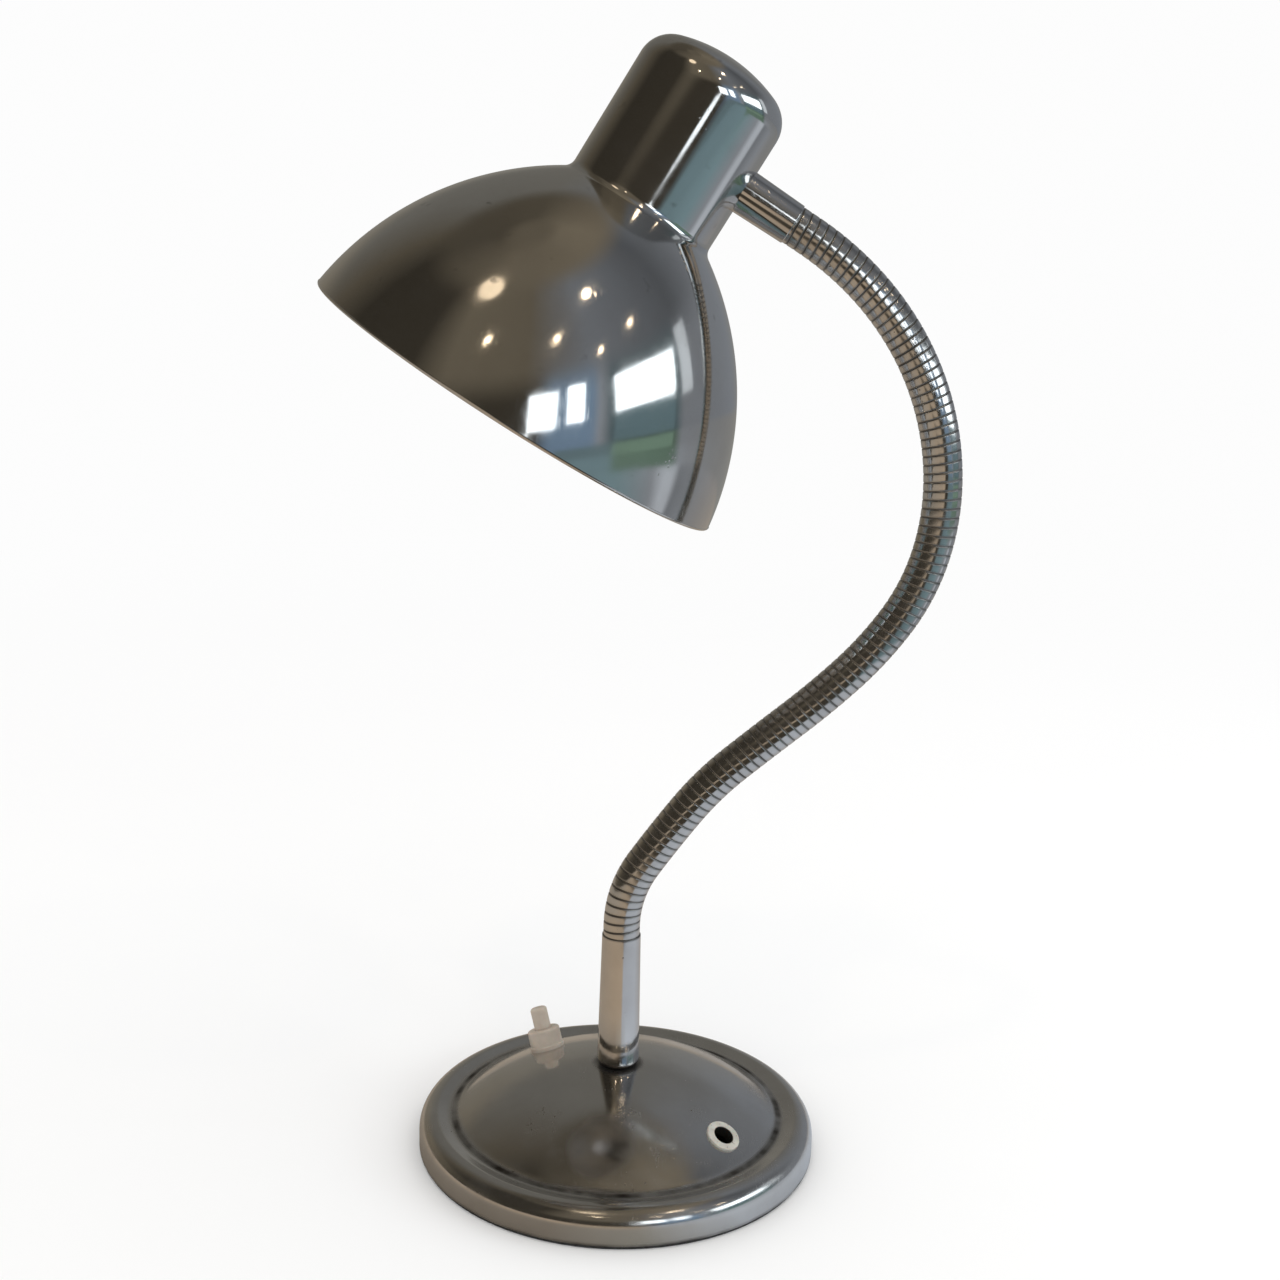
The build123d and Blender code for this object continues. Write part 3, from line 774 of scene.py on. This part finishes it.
def base_outline(inset):
    """Outline of the base from the stem hole to its foot, a distance inside the outer face.

    It is the arc of the dome, the slope up to the rim, the quarter round of its shoulder and the side.
    """
    ball = dome_sphere - inset
    edge = asin(groove_radius / ball)
    hole = asin(tube_bore_radius / ball)
    shoulder = (base_radius - rim_shoulder, rim_height - rim_shoulder)
    crest = (shoulder[0], rim_height - inset)
    groove = (groove_radius, dome_centre + ball * cos(edge))
    dome = arc((0, dome_centre), ball, pi / 2 - hole, pi / 2 - edge, dome_steps)
    slope = line(groove, crest, slope_steps)
    bend = arc(shoulder, rim_shoulder - inset, pi / 2, 0, shoulder_steps)
    side = line((base_radius - inset, shoulder[1]), (base_radius - inset, base_low), side_steps)
    return np.concatenate((dome, slope, bend, side, [(base_radius - inset, base_low)]))


def eased(outline, middle, width, passes=12):
    """Outline with the corner near one radius rounded.

    In each pass the points there move to a weighted mean of their neighbours.
    """
    result = outline.copy()
    near = np.exp(-((outline[:, :1] - middle) / width) ** 2)
    for _ in range(passes):
        mean = result.copy()
        mean[1:-1] = (result[:-2] + result[1:-1] * 2 + result[2:]) / 4
        result = result + (mean - result) * near
    return result


def make_base():
    """Shell with its two holes, a wall between two turned outlines, and the turned pad under it.

    The shell's UV map is the share of a turn round the axis and the distance from it.
    """
    upright = np.eye(4)
    outlines = [eased(base_outline(inset), groove_radius, 2 * groove_round) for inset in (0, base_wall)]
    outer, inner = (around(outline, base_columns, upright) for outline in outlines)
    faces = quads(turned_numbers(outlines[0], base_columns))
    for normal, radius in ((switch_normal, switch_neck_radius), (bush_normal, bush_neck_radius + seat_gap)):
        origin = dome_point(normal)
        inner = cut_hole(inner, faces, origin, normal, radius)[0]
        outer, faces = cut_hole(outer, faces, origin, normal, radius)
    points, faces = walled(outer, inner, faces)
    angle = np.arctan2(points[:, 1], points[:, 0]) / (2 * pi)
    turn = angle[faces]
    turn = turn - np.round(turn - turn[:, :1])
    flow = np.stack((turn, np.hypot(points[:, 0], points[:, 1])[faces]), -1)
    finish_piece(make_piece("base_shell_polished", points, faces, flow=flow),
                 chrome_base, "base", "chrome_base", "base_shell")
    pad = rounded([
        (0, base_low, 0), (pad_radius, base_low, pad_edge),
        (pad_radius, 0, pad_edge), (0, 0, 0)], pad_spacing)
    finish_piece(turned("felt_pad_soft", pad, upright, pad_columns), felt, "base", "felt", "felt_pad")


def make_stem():
    """Stem tube: an outline up the outside, over the lip and down both bores."""
    low, high = dome_top, stem_high
    plug = low + stem_plug
    outline = rounded([
        (stem_radius, low, stem_foot_round), (stem_top_radius, high, stem_lip_round),
        (stem_bore_radius, high, stem_lip_round / 2), (stem_bore_radius, plug, 0.0),
        (tube_bore_radius, plug, 0.0), (tube_bore_radius, low, 0.0)], stem_spacing, closed=True)
    finish_piece(turned("stem_tube_polished", outline, np.eye(4), stem_columns, closed=True),
                 chrome_tube, "base", "chrome_tube", "stem_tube")


# Switch and bush

def on_dome(normal):
    """Frame on the face of the dome whose Z axis is the normal there."""
    return place_along(dome_point(normal), normal)


def on_shell(radius):
    """Height in that frame where a ring of this radius meets the outer face of the dome."""
    return sqrt(dome_sphere**2 - radius**2) - dome_sphere


def under_shell(radius):
    """Height in that frame where a flat ring of this radius meets the hollow side of the shell."""
    inner = dome_sphere - base_wall
    return -base_wall - seat_gap - inner + sqrt(inner**2 - radius**2)


def make_switch():
    """Collar, and button with the flange that holds it in the switch: two turned outlines."""
    seat = on_shell(collar_flange_radius)
    collar = rounded([
        (collar_flange_radius, seat, 0.0), (collar_flange_radius, collar_flange_height, collar_edge_round),
        (collar_radius, collar_flange_height, collar_foot_round),
        (collar_radius, collar_height, collar_round),
        (button_bore_radius, collar_height, collar_edge_round),
        (button_bore_radius, collar_height - collar_top, 0.0),
        (switch_neck_radius, collar_height - collar_top, 0.0),
        (switch_neck_radius, seat, 0.0)], moulded_spacing, closed=True)
    place = on_dome(switch_normal)
    finish_piece(turned("switch_collar_moulded", collar, place, moulded_columns, closed=True),
                 ivory_plastic, "base", "ivory_plastic", "switch_collar")
    flange_top = under_shell(switch_body_radius) - switch_roof - button_stop_gap
    flange_low = flange_top - button_flange_height
    button = rounded([
        (0, button_top - button_dish, 0.0),
        (button_radius * button_dish_reach_share, button_top - button_dish * button_dish_depth_share,
         button_dish_round),
        (button_radius, button_top, button_round), (button_radius, flange_top, 0.0),
        (button_flange_radius, flange_top, button_flange_round),
        (button_flange_radius, flange_low, button_flange_round), (0, flange_low, 0.0)], moulded_spacing)
    finish_piece(turned("switch_button_moulded", button, place, button_columns),
                 ivory_plastic, "switch_button", "ivory_plastic", "switch_button")


def make_spring():
    """Spring under the button: a round wire along a helix.

    A point of the wire lies its radius times (cos, sin) of an angle out from the helix and up from it, and
    the first and last rows close to a point.
    """
    seat = under_shell(switch_body_radius)
    low = seat - switch_body_height + switch_floor + contact_ring_thickness
    high = seat - switch_roof - button_stop_gap - button_flange_height
    rows = spring_turn_rows * spring_turns + 1
    turn = np.pad(np.linspace(0, 1, rows), 1, mode="edge")[:, None]
    radius = np.pad(np.full(rows, spring_wire / 2), 1)[:, None]
    angle = np.linspace(0, 2 * pi, spring_columns, endpoint=False)
    reach = button_flange_radius - spring_wire + radius * np.cos(angle)
    first, last = low + seat_gap + spring_wire / 2, high - seat_gap - spring_wire / 2
    height = first + (last - first) * turn + radius * np.sin(angle)
    wound = 2 * pi * spring_turns * turn
    local = np.stack((reach * np.cos(wound), reach * np.sin(wound), height), -1)
    place = on_dome(switch_normal)
    faces = quads(turned_numbers(radius, spring_columns))
    piece = make_piece("switch_spring_wound", placed(local, place), faces)
    finish_piece(piece, plain_steel, "base", "plain_steel", "switch_spring")
    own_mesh(piece)


def make_bush():
    """Bush: flange on the dome, neck through its hole and a clip under the shell, round a bore."""
    seat = on_shell(bush_flange_radius)
    clip_top = under_shell(bush_clip_radius)
    clip_low = clip_top - bush_clip_height
    outline = rounded([
        (bush_bore_radius, clip_low, bush_end_round),
        (bush_bore_radius, bush_flange_height, bush_mouth_round),
        (bush_flange_radius, bush_flange_height, bush_round), (bush_flange_radius, seat, 0.0),
        (bush_neck_radius, seat, 0.0), (bush_neck_radius, clip_top, 0.0),
        (bush_clip_radius, clip_top, bush_clip_round),
        (bush_clip_radius, clip_low, bush_end_round)], moulded_spacing, closed=True)
    finish_piece(turned("cord_grommet_moulded", outline, on_dome(bush_normal), moulded_columns, closed=True),
                 bush_plastic, "base", "bush_plastic", "cord_grommet")


# Neck

neck_joints = [joint for joint in joints if joint["type"] == "hinge"]
joint_points = np.array([joint["pos_m"] for joint in neck_joints])


def link_arcs():
    """Direction at each joint and length of a link.

    The links are arcs that run into each other, so a chord's heading is the direction at its start plus half
    the bend of its link. Directions are angles from +Z towards +X.
    """
    chords = np.diff(joint_points, axis=0)
    angles = [0.0]
    for chord in chords:
        angles.append(2 * atan2(chord[0], chord[2]) - angles[-1])
    half = np.diff(angles) / 2
    lengths = np.linalg.norm(chords, axis=1) / np.sinc(half / pi)
    return np.array(angles), lengths.mean()


joint_angles, link_length = link_arcs()
neck_length = link_length * (len(joint_points) - 1)
across_neck = np.array((0.0, 1.0, 0.0))


def neck_line(distance):
    """Point, side and forward direction of the middle of the neck at distances from the first joint.

    Along a link the direction turns evenly, and beyond the first and last joint the line runs straight.
    """
    inside = np.clip(distance, 0, neck_length)
    link = np.minimum((inside / link_length).astype(int), len(joint_points) - 2)
    bend = np.diff(joint_angles)[link] * (inside / link_length - link)
    heading = joint_angles[link] + bend / 2
    chord = (inside - link * link_length) * np.sinc(bend / (2 * pi))
    still = np.zeros_like(heading)
    point = joint_points[link] + chord[..., None] * np.stack((np.sin(heading), still, np.cos(heading)), -1)
    angle = joint_angles[link] + bend
    forward = np.stack((np.sin(angle), still, np.cos(angle)), -1)
    side = np.stack((np.cos(angle), still, -np.sin(angle)), -1)
    return point + (distance - inside)[..., None] * forward, side, forward


def wound_grid(start, end, pitch, columns):
    """Numbers, distances, angles and phases of a grid whose rows follow a wound wire.

    A row keeps its phase and climbs one pitch in a turn, so its last point is the first one of the row a
    turn on. Rows lie at the same shares of the way from the crest of a turn to its groove, on both sides.
    Rows that pass the start or the end of the piece are pulled back to it.
    """
    half = (1 - turn_row_shares) / 2
    phases = np.concatenate((half, [0.5], 1 - half[:0:-1]))
    per_turn = len(phases)
    first = int(np.floor(start / pitch)) - 1
    rows = (int(np.ceil(end / pitch)) - first + 1) * per_turn
    turns = first + np.arange(rows) // per_turn + np.tile(phases, rows // per_turn)
    column = np.arange(columns + 1)
    row = np.arange(rows)[:, None] + np.zeros_like(column)
    distance = pitch * (turns[:, None] + column / columns)
    low = (distance <= start).sum(0) - 1
    high = (distance < end).sum(0)
    row = np.clip(row, np.maximum(low, 0), np.minimum(high, rows - 1))
    distance = np.clip(np.take_along_axis(distance, row, 0), start, end)
    angle = 2 * pi * column / columns + np.zeros_like(distance)
    numbers = (row + per_turn * (column == columns)) * columns + column % columns
    return numbers, distance, angle, distance / pitch - angle / (2 * pi)


def smooth(value, low, high):
    """0 below low, 1 above high and a smooth step between them."""
    share = np.clip((value - low) / (high - low), 0, 1)
    return share * share * (3 - 2 * share)


def turn_profile(phase):
    """Share of the way across a wound turn, and share of the depth of the groove there.

    Both are 0 on the crest of a turn and 1 in the middle of the groove beside it, at whole phases.
    """
    across = np.minimum(np.abs(2 * (phase % 1.0) - 1), 1)
    return across, smooth(across, 1 - turn_groove_share, 1)


def make_neck():
    """The wound neck, a piece for each joint, that reaches halfway along the links on either side of it.

    The radius falls from the crest of each turn by the square of the distance across it, and by a smooth
    step into the groove.
    """
    middles = (np.arange(len(neck_joints) - 1) + 0.5) * link_length
    start, end = -lower_end_turns * turn_pitch, neck_length + upper_end_turns * turn_pitch
    cuts = np.concatenate(([start], middles, [end]))
    for k, joint in enumerate(neck_joints):
        low, high = cuts[k], cuts[k + 1]
        numbers, distance, angle, phase = wound_grid(low, high, turn_pitch, neck_columns)
        across_turn, groove = turn_profile(phase)
        point, side, forward = neck_line(distance)
        across = np.cos(angle)[..., None] * side + np.sin(angle)[..., None] * across_neck
        drop = turn_sag_share * across_turn**2 + (1 - turn_sag_share) * groove
        radius = neck_radius - turn_depth * drop
        sheets = []
        for reach in (radius, np.full_like(radius, neck_bore_radius)):
            sheet = np.zeros((numbers.max() + 1, 3))
            sheet[numbers] = point + reach[..., None] * across
            sheets.append(sheet)
        points, faces = walled(*sheets, quads(numbers))
        painted_shade_and_dull = np.zeros(len(points))
        # Tarnish and painted shade in the groove beside each turn, and painted shade all over the bore
        painted_shade_and_dull[numbers] = turn_tarnish_and_shade * smooth(across_turn, *turn_tarnish_and_shade_shares)
        painted_shade_and_dull[len(sheets[0]):] = 1.0
        piece = make_piece(f"gooseneck_{k + 1:02d}", points, faces, values=painted_shade_and_dull)
        piece.data.materials.append(chrome_neck)
        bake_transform(piece)
        stands_for = ["neck_upper_end" if joint["child"] == "head" else joint["child"]]
        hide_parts(*(["neck_lower_end"] * (k == 0) + stands_for))


# Head

def head_matrix():
    """Frame of the shade: origin in the rim plane on the axis, Z up the cap, X back along the neck."""
    end, side, forward = (row[0] for row in neck_line(np.array([neck_length])))
    height = shade_height + ferrule_rise
    matrix = np.eye(4)
    reach = upper_end_turns * turn_pitch + ferrule_length + cap_radius
    matrix[:3, :3] = np.stack((-forward, across_neck, side), 1)
    matrix[:3, 3] = end + forward * reach - side * height
    return matrix


head = head_matrix()


def shade_runs(inset):
    """Outline of the shade from the crown to the rim, a distance inside its outer face.

    Crown arc, corner arc, side of the cap, the hollow arc into the bell and the bell's own arc, each
    touching the next: the middle of a corner arc lies its radius away from both neighbours.
    """
    run = shade_radius - cap_radius
    chord = hypot(run, shade_height)
    depth = sqrt(shade_curve**2 - (chord / 2) ** 2)
    bell = np.array(((shade_radius + cap_radius) / 2 - depth * shade_height / chord,
                     shade_height / 2 - depth * run / chord))
    curve = shade_curve - inset
    side = cap_radius - inset
    hollow_round = junction_round + inset
    hollow = np.array((side + hollow_round, 0.0))
    hollow[1] = bell[1] + sqrt((curve + hollow_round) ** 2 - (hollow[0] - bell[0]) ** 2)
    crown_curve = (cap_radius**2 + cap_crown**2) / (2 * cap_crown)
    crown = np.array((0.0, shade_height + cap_height - crown_curve))
    crown_curve -= inset
    corner_round = cap_round - inset
    corner = np.array((side - corner_round, 0.0))
    corner[1] = crown[1] + sqrt((crown_curve - corner_round) ** 2 - corner[0] ** 2)
    lean = atan2(corner[1] - crown[1], corner[0])
    spread = atan2(*(hollow - bell)[::-1])
    foot = -asin(bell[1] / curve)
    return np.concatenate((
        arc(crown, crown_curve, pi / 2, lean, crown_steps),
        arc(corner, corner_round, lean, 0, cap_corner_steps),
        line((side, corner[1]), (side, hollow[1]), cap_side_steps),
        arc(hollow, hollow_round, pi, pi + spread, hollow_steps),
        arc(bell, curve, spread, foot, bell_steps)))


def make_shade():
    """Shade turned from its outer outline, the roll of its rim and its unpolished inner outline."""
    outer, inner = shade_runs(0), shade_runs(shade_wall)
    bead_middle = (shade_radius - rim_roll, rim_roll)
    roll = arc(bead_middle, rim_roll, 0, -rim_roll_arc, roll_steps)
    outer = outer[outer[:, 1] > rim_roll]
    inner = inner[inner[:, 1] > rim_roll * rim_roll_cut_share]
    outer[0, 0] = inner[0, 0] = 0
    outline = np.concatenate((outer, roll, inner[::-1]))
    unpolished = np.arange(len(outline)) >= len(outer) + len(roll)
    finish_piece(turned("shade_polished", outline, head, shade_columns, values=unpolished.astype(float)),
                 chrome_shade, "head", "chrome_shade", "shade")


def make_ferrule():
    """Sleeve whose end is shaped to the round side of the cap.

    Each row of the outside is a circle about the sleeve's axis; the end row reaches to the cap, at a
    distance from the shade's axis that is the side of the cap. The inside is a bore with a mouth at the
    neck's end.
    """
    middle = shade_height + ferrule_rise
    angle = np.linspace(0, 2 * pi, ferrule_columns, endpoint=False)
    saddle = np.sqrt(cap_radius**2 - (ferrule_radius * np.cos(angle)) ** 2) - ferrule_seat_lap
    far = cap_radius + ferrule_length
    share = np.concatenate((np.linspace(0, 1, ferrule_steps), np.ones(2 * lip_steps)))[:, None]
    turn = np.linspace(0, pi / 2, lip_steps)
    rounding = ferrule_end_radius - ferrule_round * (1 - np.cos(turn))
    lip = np.concatenate((rounding, np.linspace(rounding[-1], stem_bore_radius, lip_steps)))
    end = np.concatenate((far - ferrule_round * (1 - np.sin(turn)), np.full(lip_steps, far)))
    radius = np.concatenate((np.linspace(ferrule_radius, ferrule_end_radius, ferrule_steps), lip))[:, None]
    along = saddle * (1 - share) + (far - ferrule_round) * share
    along[ferrule_steps:] = end[:, None]
    outer = np.stack((along, radius * np.cos(angle), middle + radius * np.sin(angle)), -1)
    inner = outer.copy()
    inner[..., 1] = tube_bore_radius * np.cos(angle)
    inner[..., 2] = middle + tube_bore_radius * np.sin(angle)
    inner[ferrule_steps:, :, 0] = far - ferrule_mouth_depth
    numbers = turned_numbers(radius, ferrule_columns)
    points, faces = walled(placed(outer, head), placed(inner, head), quads(numbers))
    finish_piece(make_piece("upper_ferrule_polished", points, faces),
                 chrome_sleeve, "head", "chrome_tube", "upper_ferrule")


bracket_low = shade_height + ferrule_rise - bracket_drop - bracket_thickness
lamp_base = bracket_low - holder_floor - contact_thickness


def glass_outline(inset):
    """Half outline of the bulb, a distance inside its outer face: a ball, and the cone that touches it and
    runs up to the cap."""
    ball = bulb_radius - inset
    neck = bulb_neck_radius - inset
    middle = lamp_base - bulb_length + bulb_radius
    seat = lamp_base - lamp_cap_height
    reach = hypot(neck, seat - middle)
    tilt = asin(ball / reach) + atan2(neck, seat - middle) - pi / 2
    touch = (ball * cos(tilt), middle - ball * sin(tilt))
    round_end = arc((0, middle), ball, -pi / 2, -tilt, ball_steps)
    round_end[0, 0] = 0
    return np.concatenate((round_end, line(touch, (neck, seat), cone_steps), [(neck, seat)]))


def make_bulb():
    """Glass of the bulb, turned from its outer and inner outlines."""
    outline = np.concatenate((glass_outline(0), glass_outline(glass_wall)[::-1]))
    finish_piece(turned("bulb_glass_frosted", outline, head, bulb_columns),
                 bulb_glass, "head", "bulb_glass", "bulb_glass")


# Light, floor and camera

background_white = grey(0.98)
floor_tones = grey(0.94), grey(0.96)
warm = (1.0, 0.85, 0.62)
tan = (1.0, 0.80, 0.59)
sand = (1.0, 0.87, 0.72)
plain = (1.0, 0.96, 0.86)
cool = (0.90, 0.97, 1.08)
teal = (0.68, 1.0, 1.12)
blue = (0.68, 1.0, 1.42)
green = (0.66, 1.0, 0.78)

# What the plating mirrors, painted reflections of a room round the lamp and in place of the floor: stops of
# degrees, brightness and tint
studio_low = [(-180, .25, plain), (-130, .21, warm), (-95, .08, warm), (-60, .045, warm), (20, .05, warm),
              (27, .28, blue), (46, .30, blue), (50, .36, cool), (56, .14, teal), (93, .15, teal),
              (98, .27, cool), (150, .27, cool), (180, .25, plain)]
studio_high = [(-180, .18, plain), (-150, .17, plain), (-120, .11, warm), (-95, .04, warm),
               (-45, .045, warm), (-25, .17, warm), (14, .15, warm), (45, .22, cool), (100, .12, cool),
               (130, .24, cool), (180, .18, plain)]
studio_top = [(-180, .10, warm), (-95, .085, warm), (-20, .16, warm), (60, .20, warm), (100, .23, warm),
              (150, .16, warm), (180, .10, warm)]
studio_zenith = grey(0.15, *warm)
# The close floor band is dark in front as a painted shadow round the base, and the dark runs in front of the far
# bands are painted shade
floor_near = [(-180, .40, sand), (-60, .33, sand), (-20, .29, sand), (8, .40, plain), (40, .72, cool),
              (100, .64, cool), (180, .40, sand)]
floor_lit = [(-180, .40, sand), (-30, .48, tan), (10, .50, tan), (18, .54, cool), (90, .58, cool),
             (180, .40, sand)]
floor_far = [(-180, .36, sand), (-60, .42, sand), (-31, .44, tan), (-26, .05, warm), (12, .05, warm),
             (18, .20, teal), (52, .28, teal), (78, .30, cool), (88, .55, cool), (96, .55, cool),
             (101, .22, cool), (120, .31, cool), (180, .36, sand)]
floor_beyond = [(-180, .27, plain), (-60, .40, sand), (4, .46, tan), (10, .04, warm), (20, .05, warm),
                (27, .21, teal), (54, .24, teal), (58, .18, green), (92, .17, green), (97, .30, cool),
                (180, .27, plain)]

# Where one band of those tones passes into the next: distances on the floor, and rises of a direction
floor_reach = 12.0
floor_fade = (0.35, 1.6)
floor_lit_from = (0.09, 0.15)
floor_front_edge = (-0.21, -0.26)
floor_far_from = (0.30, 0.40)
floor_far_middle = 0.18
floor_beyond_from = (1.1, 1.3)
floor_end = (4.0, 5.0)
studio_high_from = (0.26, 0.50)
studio_top_from = (0.84, 0.93)
studio_zenith_from = (0.985, 0.998)

# Round lights overhead, in columns and rows, and upright panels
light_middle = np.array((-0.02, -0.07, 0.32))
spot_rise = 1.3
spot_tint = (1.0, 0.80, 0.56)
spot_columns = (-0.27, 0.76, 1.78)
spot_rows = (-0.68, -1.5)
spot_glow = 26.0
near_spot_radius = 0.045
far_spot_radius = 0.028
halo_radius = 0.12
halo_glow = 1.3
bright_tint = (0.86, 0.94, 1.0)
dim_tint = (0.50, 0.85, 1.0)
low_tint = (0.60, 0.95, 0.72)
panels = (
    # name, azimuth, elevation, distance, width, height, glow, tint
    ("panel_left", 22.5, 11.0, 2.2, 0.50, 0.54, 3.0, bright_tint),
    ("panel_middle", 38.0, 12.0, 2.2, 0.31, 0.54, 3.0, bright_tint),
    ("panel_small", 14.0, 1.5, 2.2, 0.22, 0.15, 2.0, bright_tint),
    ("panel_wide", 75.0, 12.8, 2.0, 1.25, 0.47, 3.0, bright_tint),
    ("panel_wide_dim", 75.0, 1.0, 2.0, 1.25, 0.35, 0.09, dim_tint),
    ("panel_wide_low", 75.0, -7.0, 2.0, 1.25, 0.14, 0.15, low_tint),
    ("panel_side", 101.0, 14.0, 2.0, 0.28, 0.66, 0.6, bright_tint),
)


def mirror_ramp(make, vector, stops):
    """Colour by the azimuth of a vector, from stops (degrees, brightness, tint).

    The azimuth is 0 towards the camera and grows to the right.
    """
    axes = make.add("ShaderNodeSeparateXYZ", Vector=vector).outputs
    azimuth = make.math("ARCTAN2", axes["X"], make.math("MULTIPLY", axes["Y"], -1.0))
    share = make.math("ADD", make.math("DIVIDE", azimuth, 2 * pi), 0.5)
    ramp = make.add("ShaderNodeValToRGB", Fac=share)
    points = ramp.color_ramp.elements
    while len(points) < len(stops):
        points.new(0.5)
    for point, (degrees, level, tint) in zip(points, stops):
        point.position = degrees / 360 + 0.5
        point.color = grey(level, *tint)
    return ramp.outputs["Color"]


def make_floor():
    """Wide pale floor with a faint mottle, that fades into the background far away.

    Plating mirrors bands of other tones in its place, painted reflections: one close to the base, dark in
    front as a painted shadow, a lit one round it, one beyond a straight front edge and a wide circle with
    painted shade in front, and two more far away.
    """
    reach = floor_reach
    mesh = bpy.data.meshes.new("floor")
    mesh.from_pydata([(-reach, -reach, 0), (reach, -reach, 0), (reach, reach, 0), (-reach, reach, 0)],
                     [], [(0, 1, 2, 3)])
    floor = bpy.data.objects.new("floor", mesh)
    bpy.context.scene.collection.objects.link(floor)
    material, make, shader = new_material("pale_floor", Roughness=0.9, Specular_IOR_Level=0.0)
    place = object_place(make)
    axes = make.add("ShaderNodeSeparateXYZ", Vector=place).outputs
    away = make.reach(axes)
    shifted = make.add("ShaderNodeMapping", Vector=place, Location=(-floor_far_middle, 0.0, 0.0)).outputs[0]
    far = mirror_ramp(make, shifted, floor_far)
    near, lit, beyond, studio = (
        mirror_ramp(make, place, stops) for stops in (floor_near, floor_lit, floor_beyond, studio_low))
    edge = make.math("MAXIMUM", make.span(axes["Y"], *floor_front_edge), make.span(away, *floor_far_from))
    bands = make.mix(make.span(away, *floor_lit_from), near, lit)
    bands = make.mix(edge, bands, far)
    bands = make.mix(make.span(away, *floor_beyond_from), bands, beyond)
    bands = make.mix(make.span(away, *floor_end), bands, studio)
    mirrored = make.add("ShaderNodeLightPath").outputs["Is Glossy Ray"]
    pale = make.mix(make.noise(place, scale=3.0), *floor_tones)
    make.feed(shader["Base Color"], make.mix(mirrored, pale, bands))
    fade = make.math("MULTIPLY", make.span(away, *floor_fade), make.math("SUBTRACT", 1.0, mirrored))
    glow = make.add("ShaderNodeEmission", Color=background_white)
    cover = make.add("ShaderNodeMixShader", Fac=fade)
    tree = material.node_tree
    tree.links.new(tree.nodes["Principled BSDF"].outputs[0], cover.inputs[1])
    tree.links.new(glow.outputs[0], cover.inputs[2])
    tree.links.new(cover.outputs[0], tree.nodes["Material Output"].inputs["Surface"])
    mesh.materials.append(material)


def towards(azimuth, elevation):
    """Direction by degrees: azimuth 0 is towards the camera and grows to the right, elevation is up."""
    a, e = radians(azimuth), radians(elevation)
    return np.array((sin(a) * cos(e), -cos(a) * cos(e), sin(e)))


def add_light(light, tint, matrix):
    """Hang a light in the scene, seen in the plating but not by the camera."""
    light.color = tint
    holder = bpy.data.objects.new(light.name, light)
    holder.matrix_world = Matrix(matrix)
    holder.visible_camera = False
    bpy.context.scene.collection.objects.link(holder)


def add_panel(name, azimuth, elevation, distance, width, height, glow, tint):
    """Rectangular light of an even brightness that faces the lamp."""
    light = bpy.data.lights.new(name, "AREA")
    light.shape = "RECTANGLE"
    light.size, light.size_y = width, height
    light.energy = glow * pi * width * height
    back = towards(azimuth, elevation)
    across = unit(np.cross((0, 0, 1), back))
    matrix = np.eye(4)
    matrix[:3, :3] = np.stack((across, np.cross(back, across), back), 1)
    matrix[:3, 3] = light_middle + back * distance
    add_light(light, tint, matrix)


def add_spot(x, y, radius, glow):
    """Round light overhead of an even brightness."""
    light = bpy.data.lights.new("spot", "POINT")
    light.shadow_soft_size = radius
    light.energy = glow * (2 * pi * radius) ** 2
    matrix = np.eye(4)
    matrix[:3, 3] = (x, y, light_middle[2] + spot_rise)
    add_light(light, spot_tint, matrix)


def make_lights():
    """Six spots overhead, the first with a wide faint halo, and the panels."""
    add_spot(spot_columns[0], spot_rows[0], halo_radius, halo_glow)
    for x in spot_columns:
        for y in spot_rows:
            near = x < spot_columns[-1] and y == spot_rows[0]
            add_spot(x, y, near_spot_radius if near else far_spot_radius, spot_glow)
    for row in panels:
        add_panel(*row)


def make_world():
    """Soft studio light: white, but plating mirrors dimmer tones round it, in bands up to the zenith."""
    world = bpy.data.worlds.new("studio")
    bpy.context.scene.world = world
    world.use_nodes = True
    make = Nodes(world.node_tree)
    direction = make.add("ShaderNodeTexCoord").outputs["Generated"]
    rise = make.add("ShaderNodeSeparateXYZ", Vector=direction).outputs["Z"]
    low, high, top = (mirror_ramp(make, direction, stops) for stops in (studio_low, studio_high, studio_top))
    tones = make.mix(make.span(rise, *studio_high_from), low, high)
    tones = make.mix(make.span(rise, *studio_top_from), tones, top)
    tones = make.mix(make.span(rise, *studio_zenith_from), tones, studio_zenith)
    mirrored = make.add("ShaderNodeLightPath").outputs["Is Glossy Ray"]
    background = world.node_tree.nodes["Background"]
    make.feed(background.inputs["Color"], make.mix(mirrored, background_white, tones))


def make_camera():
    """Camera at the photograph's angle, from its pitch, yaw and roll."""
    level = cos(camera_pitch)
    forward = np.array((sin(camera_yaw) * level, cos(camera_yaw) * level, -sin(camera_pitch)))
    right = np.array((cos(camera_yaw), -sin(camera_yaw), 0))
    up = np.cross(right, forward)
    matrix = np.eye(4)
    matrix[:3, 0] = cos(camera_roll) * right + sin(camera_roll) * up
    matrix[:3, 1] = -sin(camera_roll) * right + cos(camera_roll) * up
    matrix[:3, 2] = -forward
    matrix[:3, 3] = camera_place
    data = bpy.data.cameras.new("camera")
    data.lens = camera_lens
    data.sensor_width = camera_sensor
    camera = bpy.data.objects.new("camera", data)
    camera.matrix_world = Matrix(matrix)
    bpy.context.scene.collection.objects.link(camera)
    bpy.context.scene.camera = camera


dress_solids()
make_base()
make_stem()
make_switch()
make_spring()
make_bush()
make_neck()
make_shade()
make_ferrule()
make_bulb()
make_floor()
make_lights()
make_world()
make_camera()
bpy.context.scene.view_settings.view_transform = "Standard"
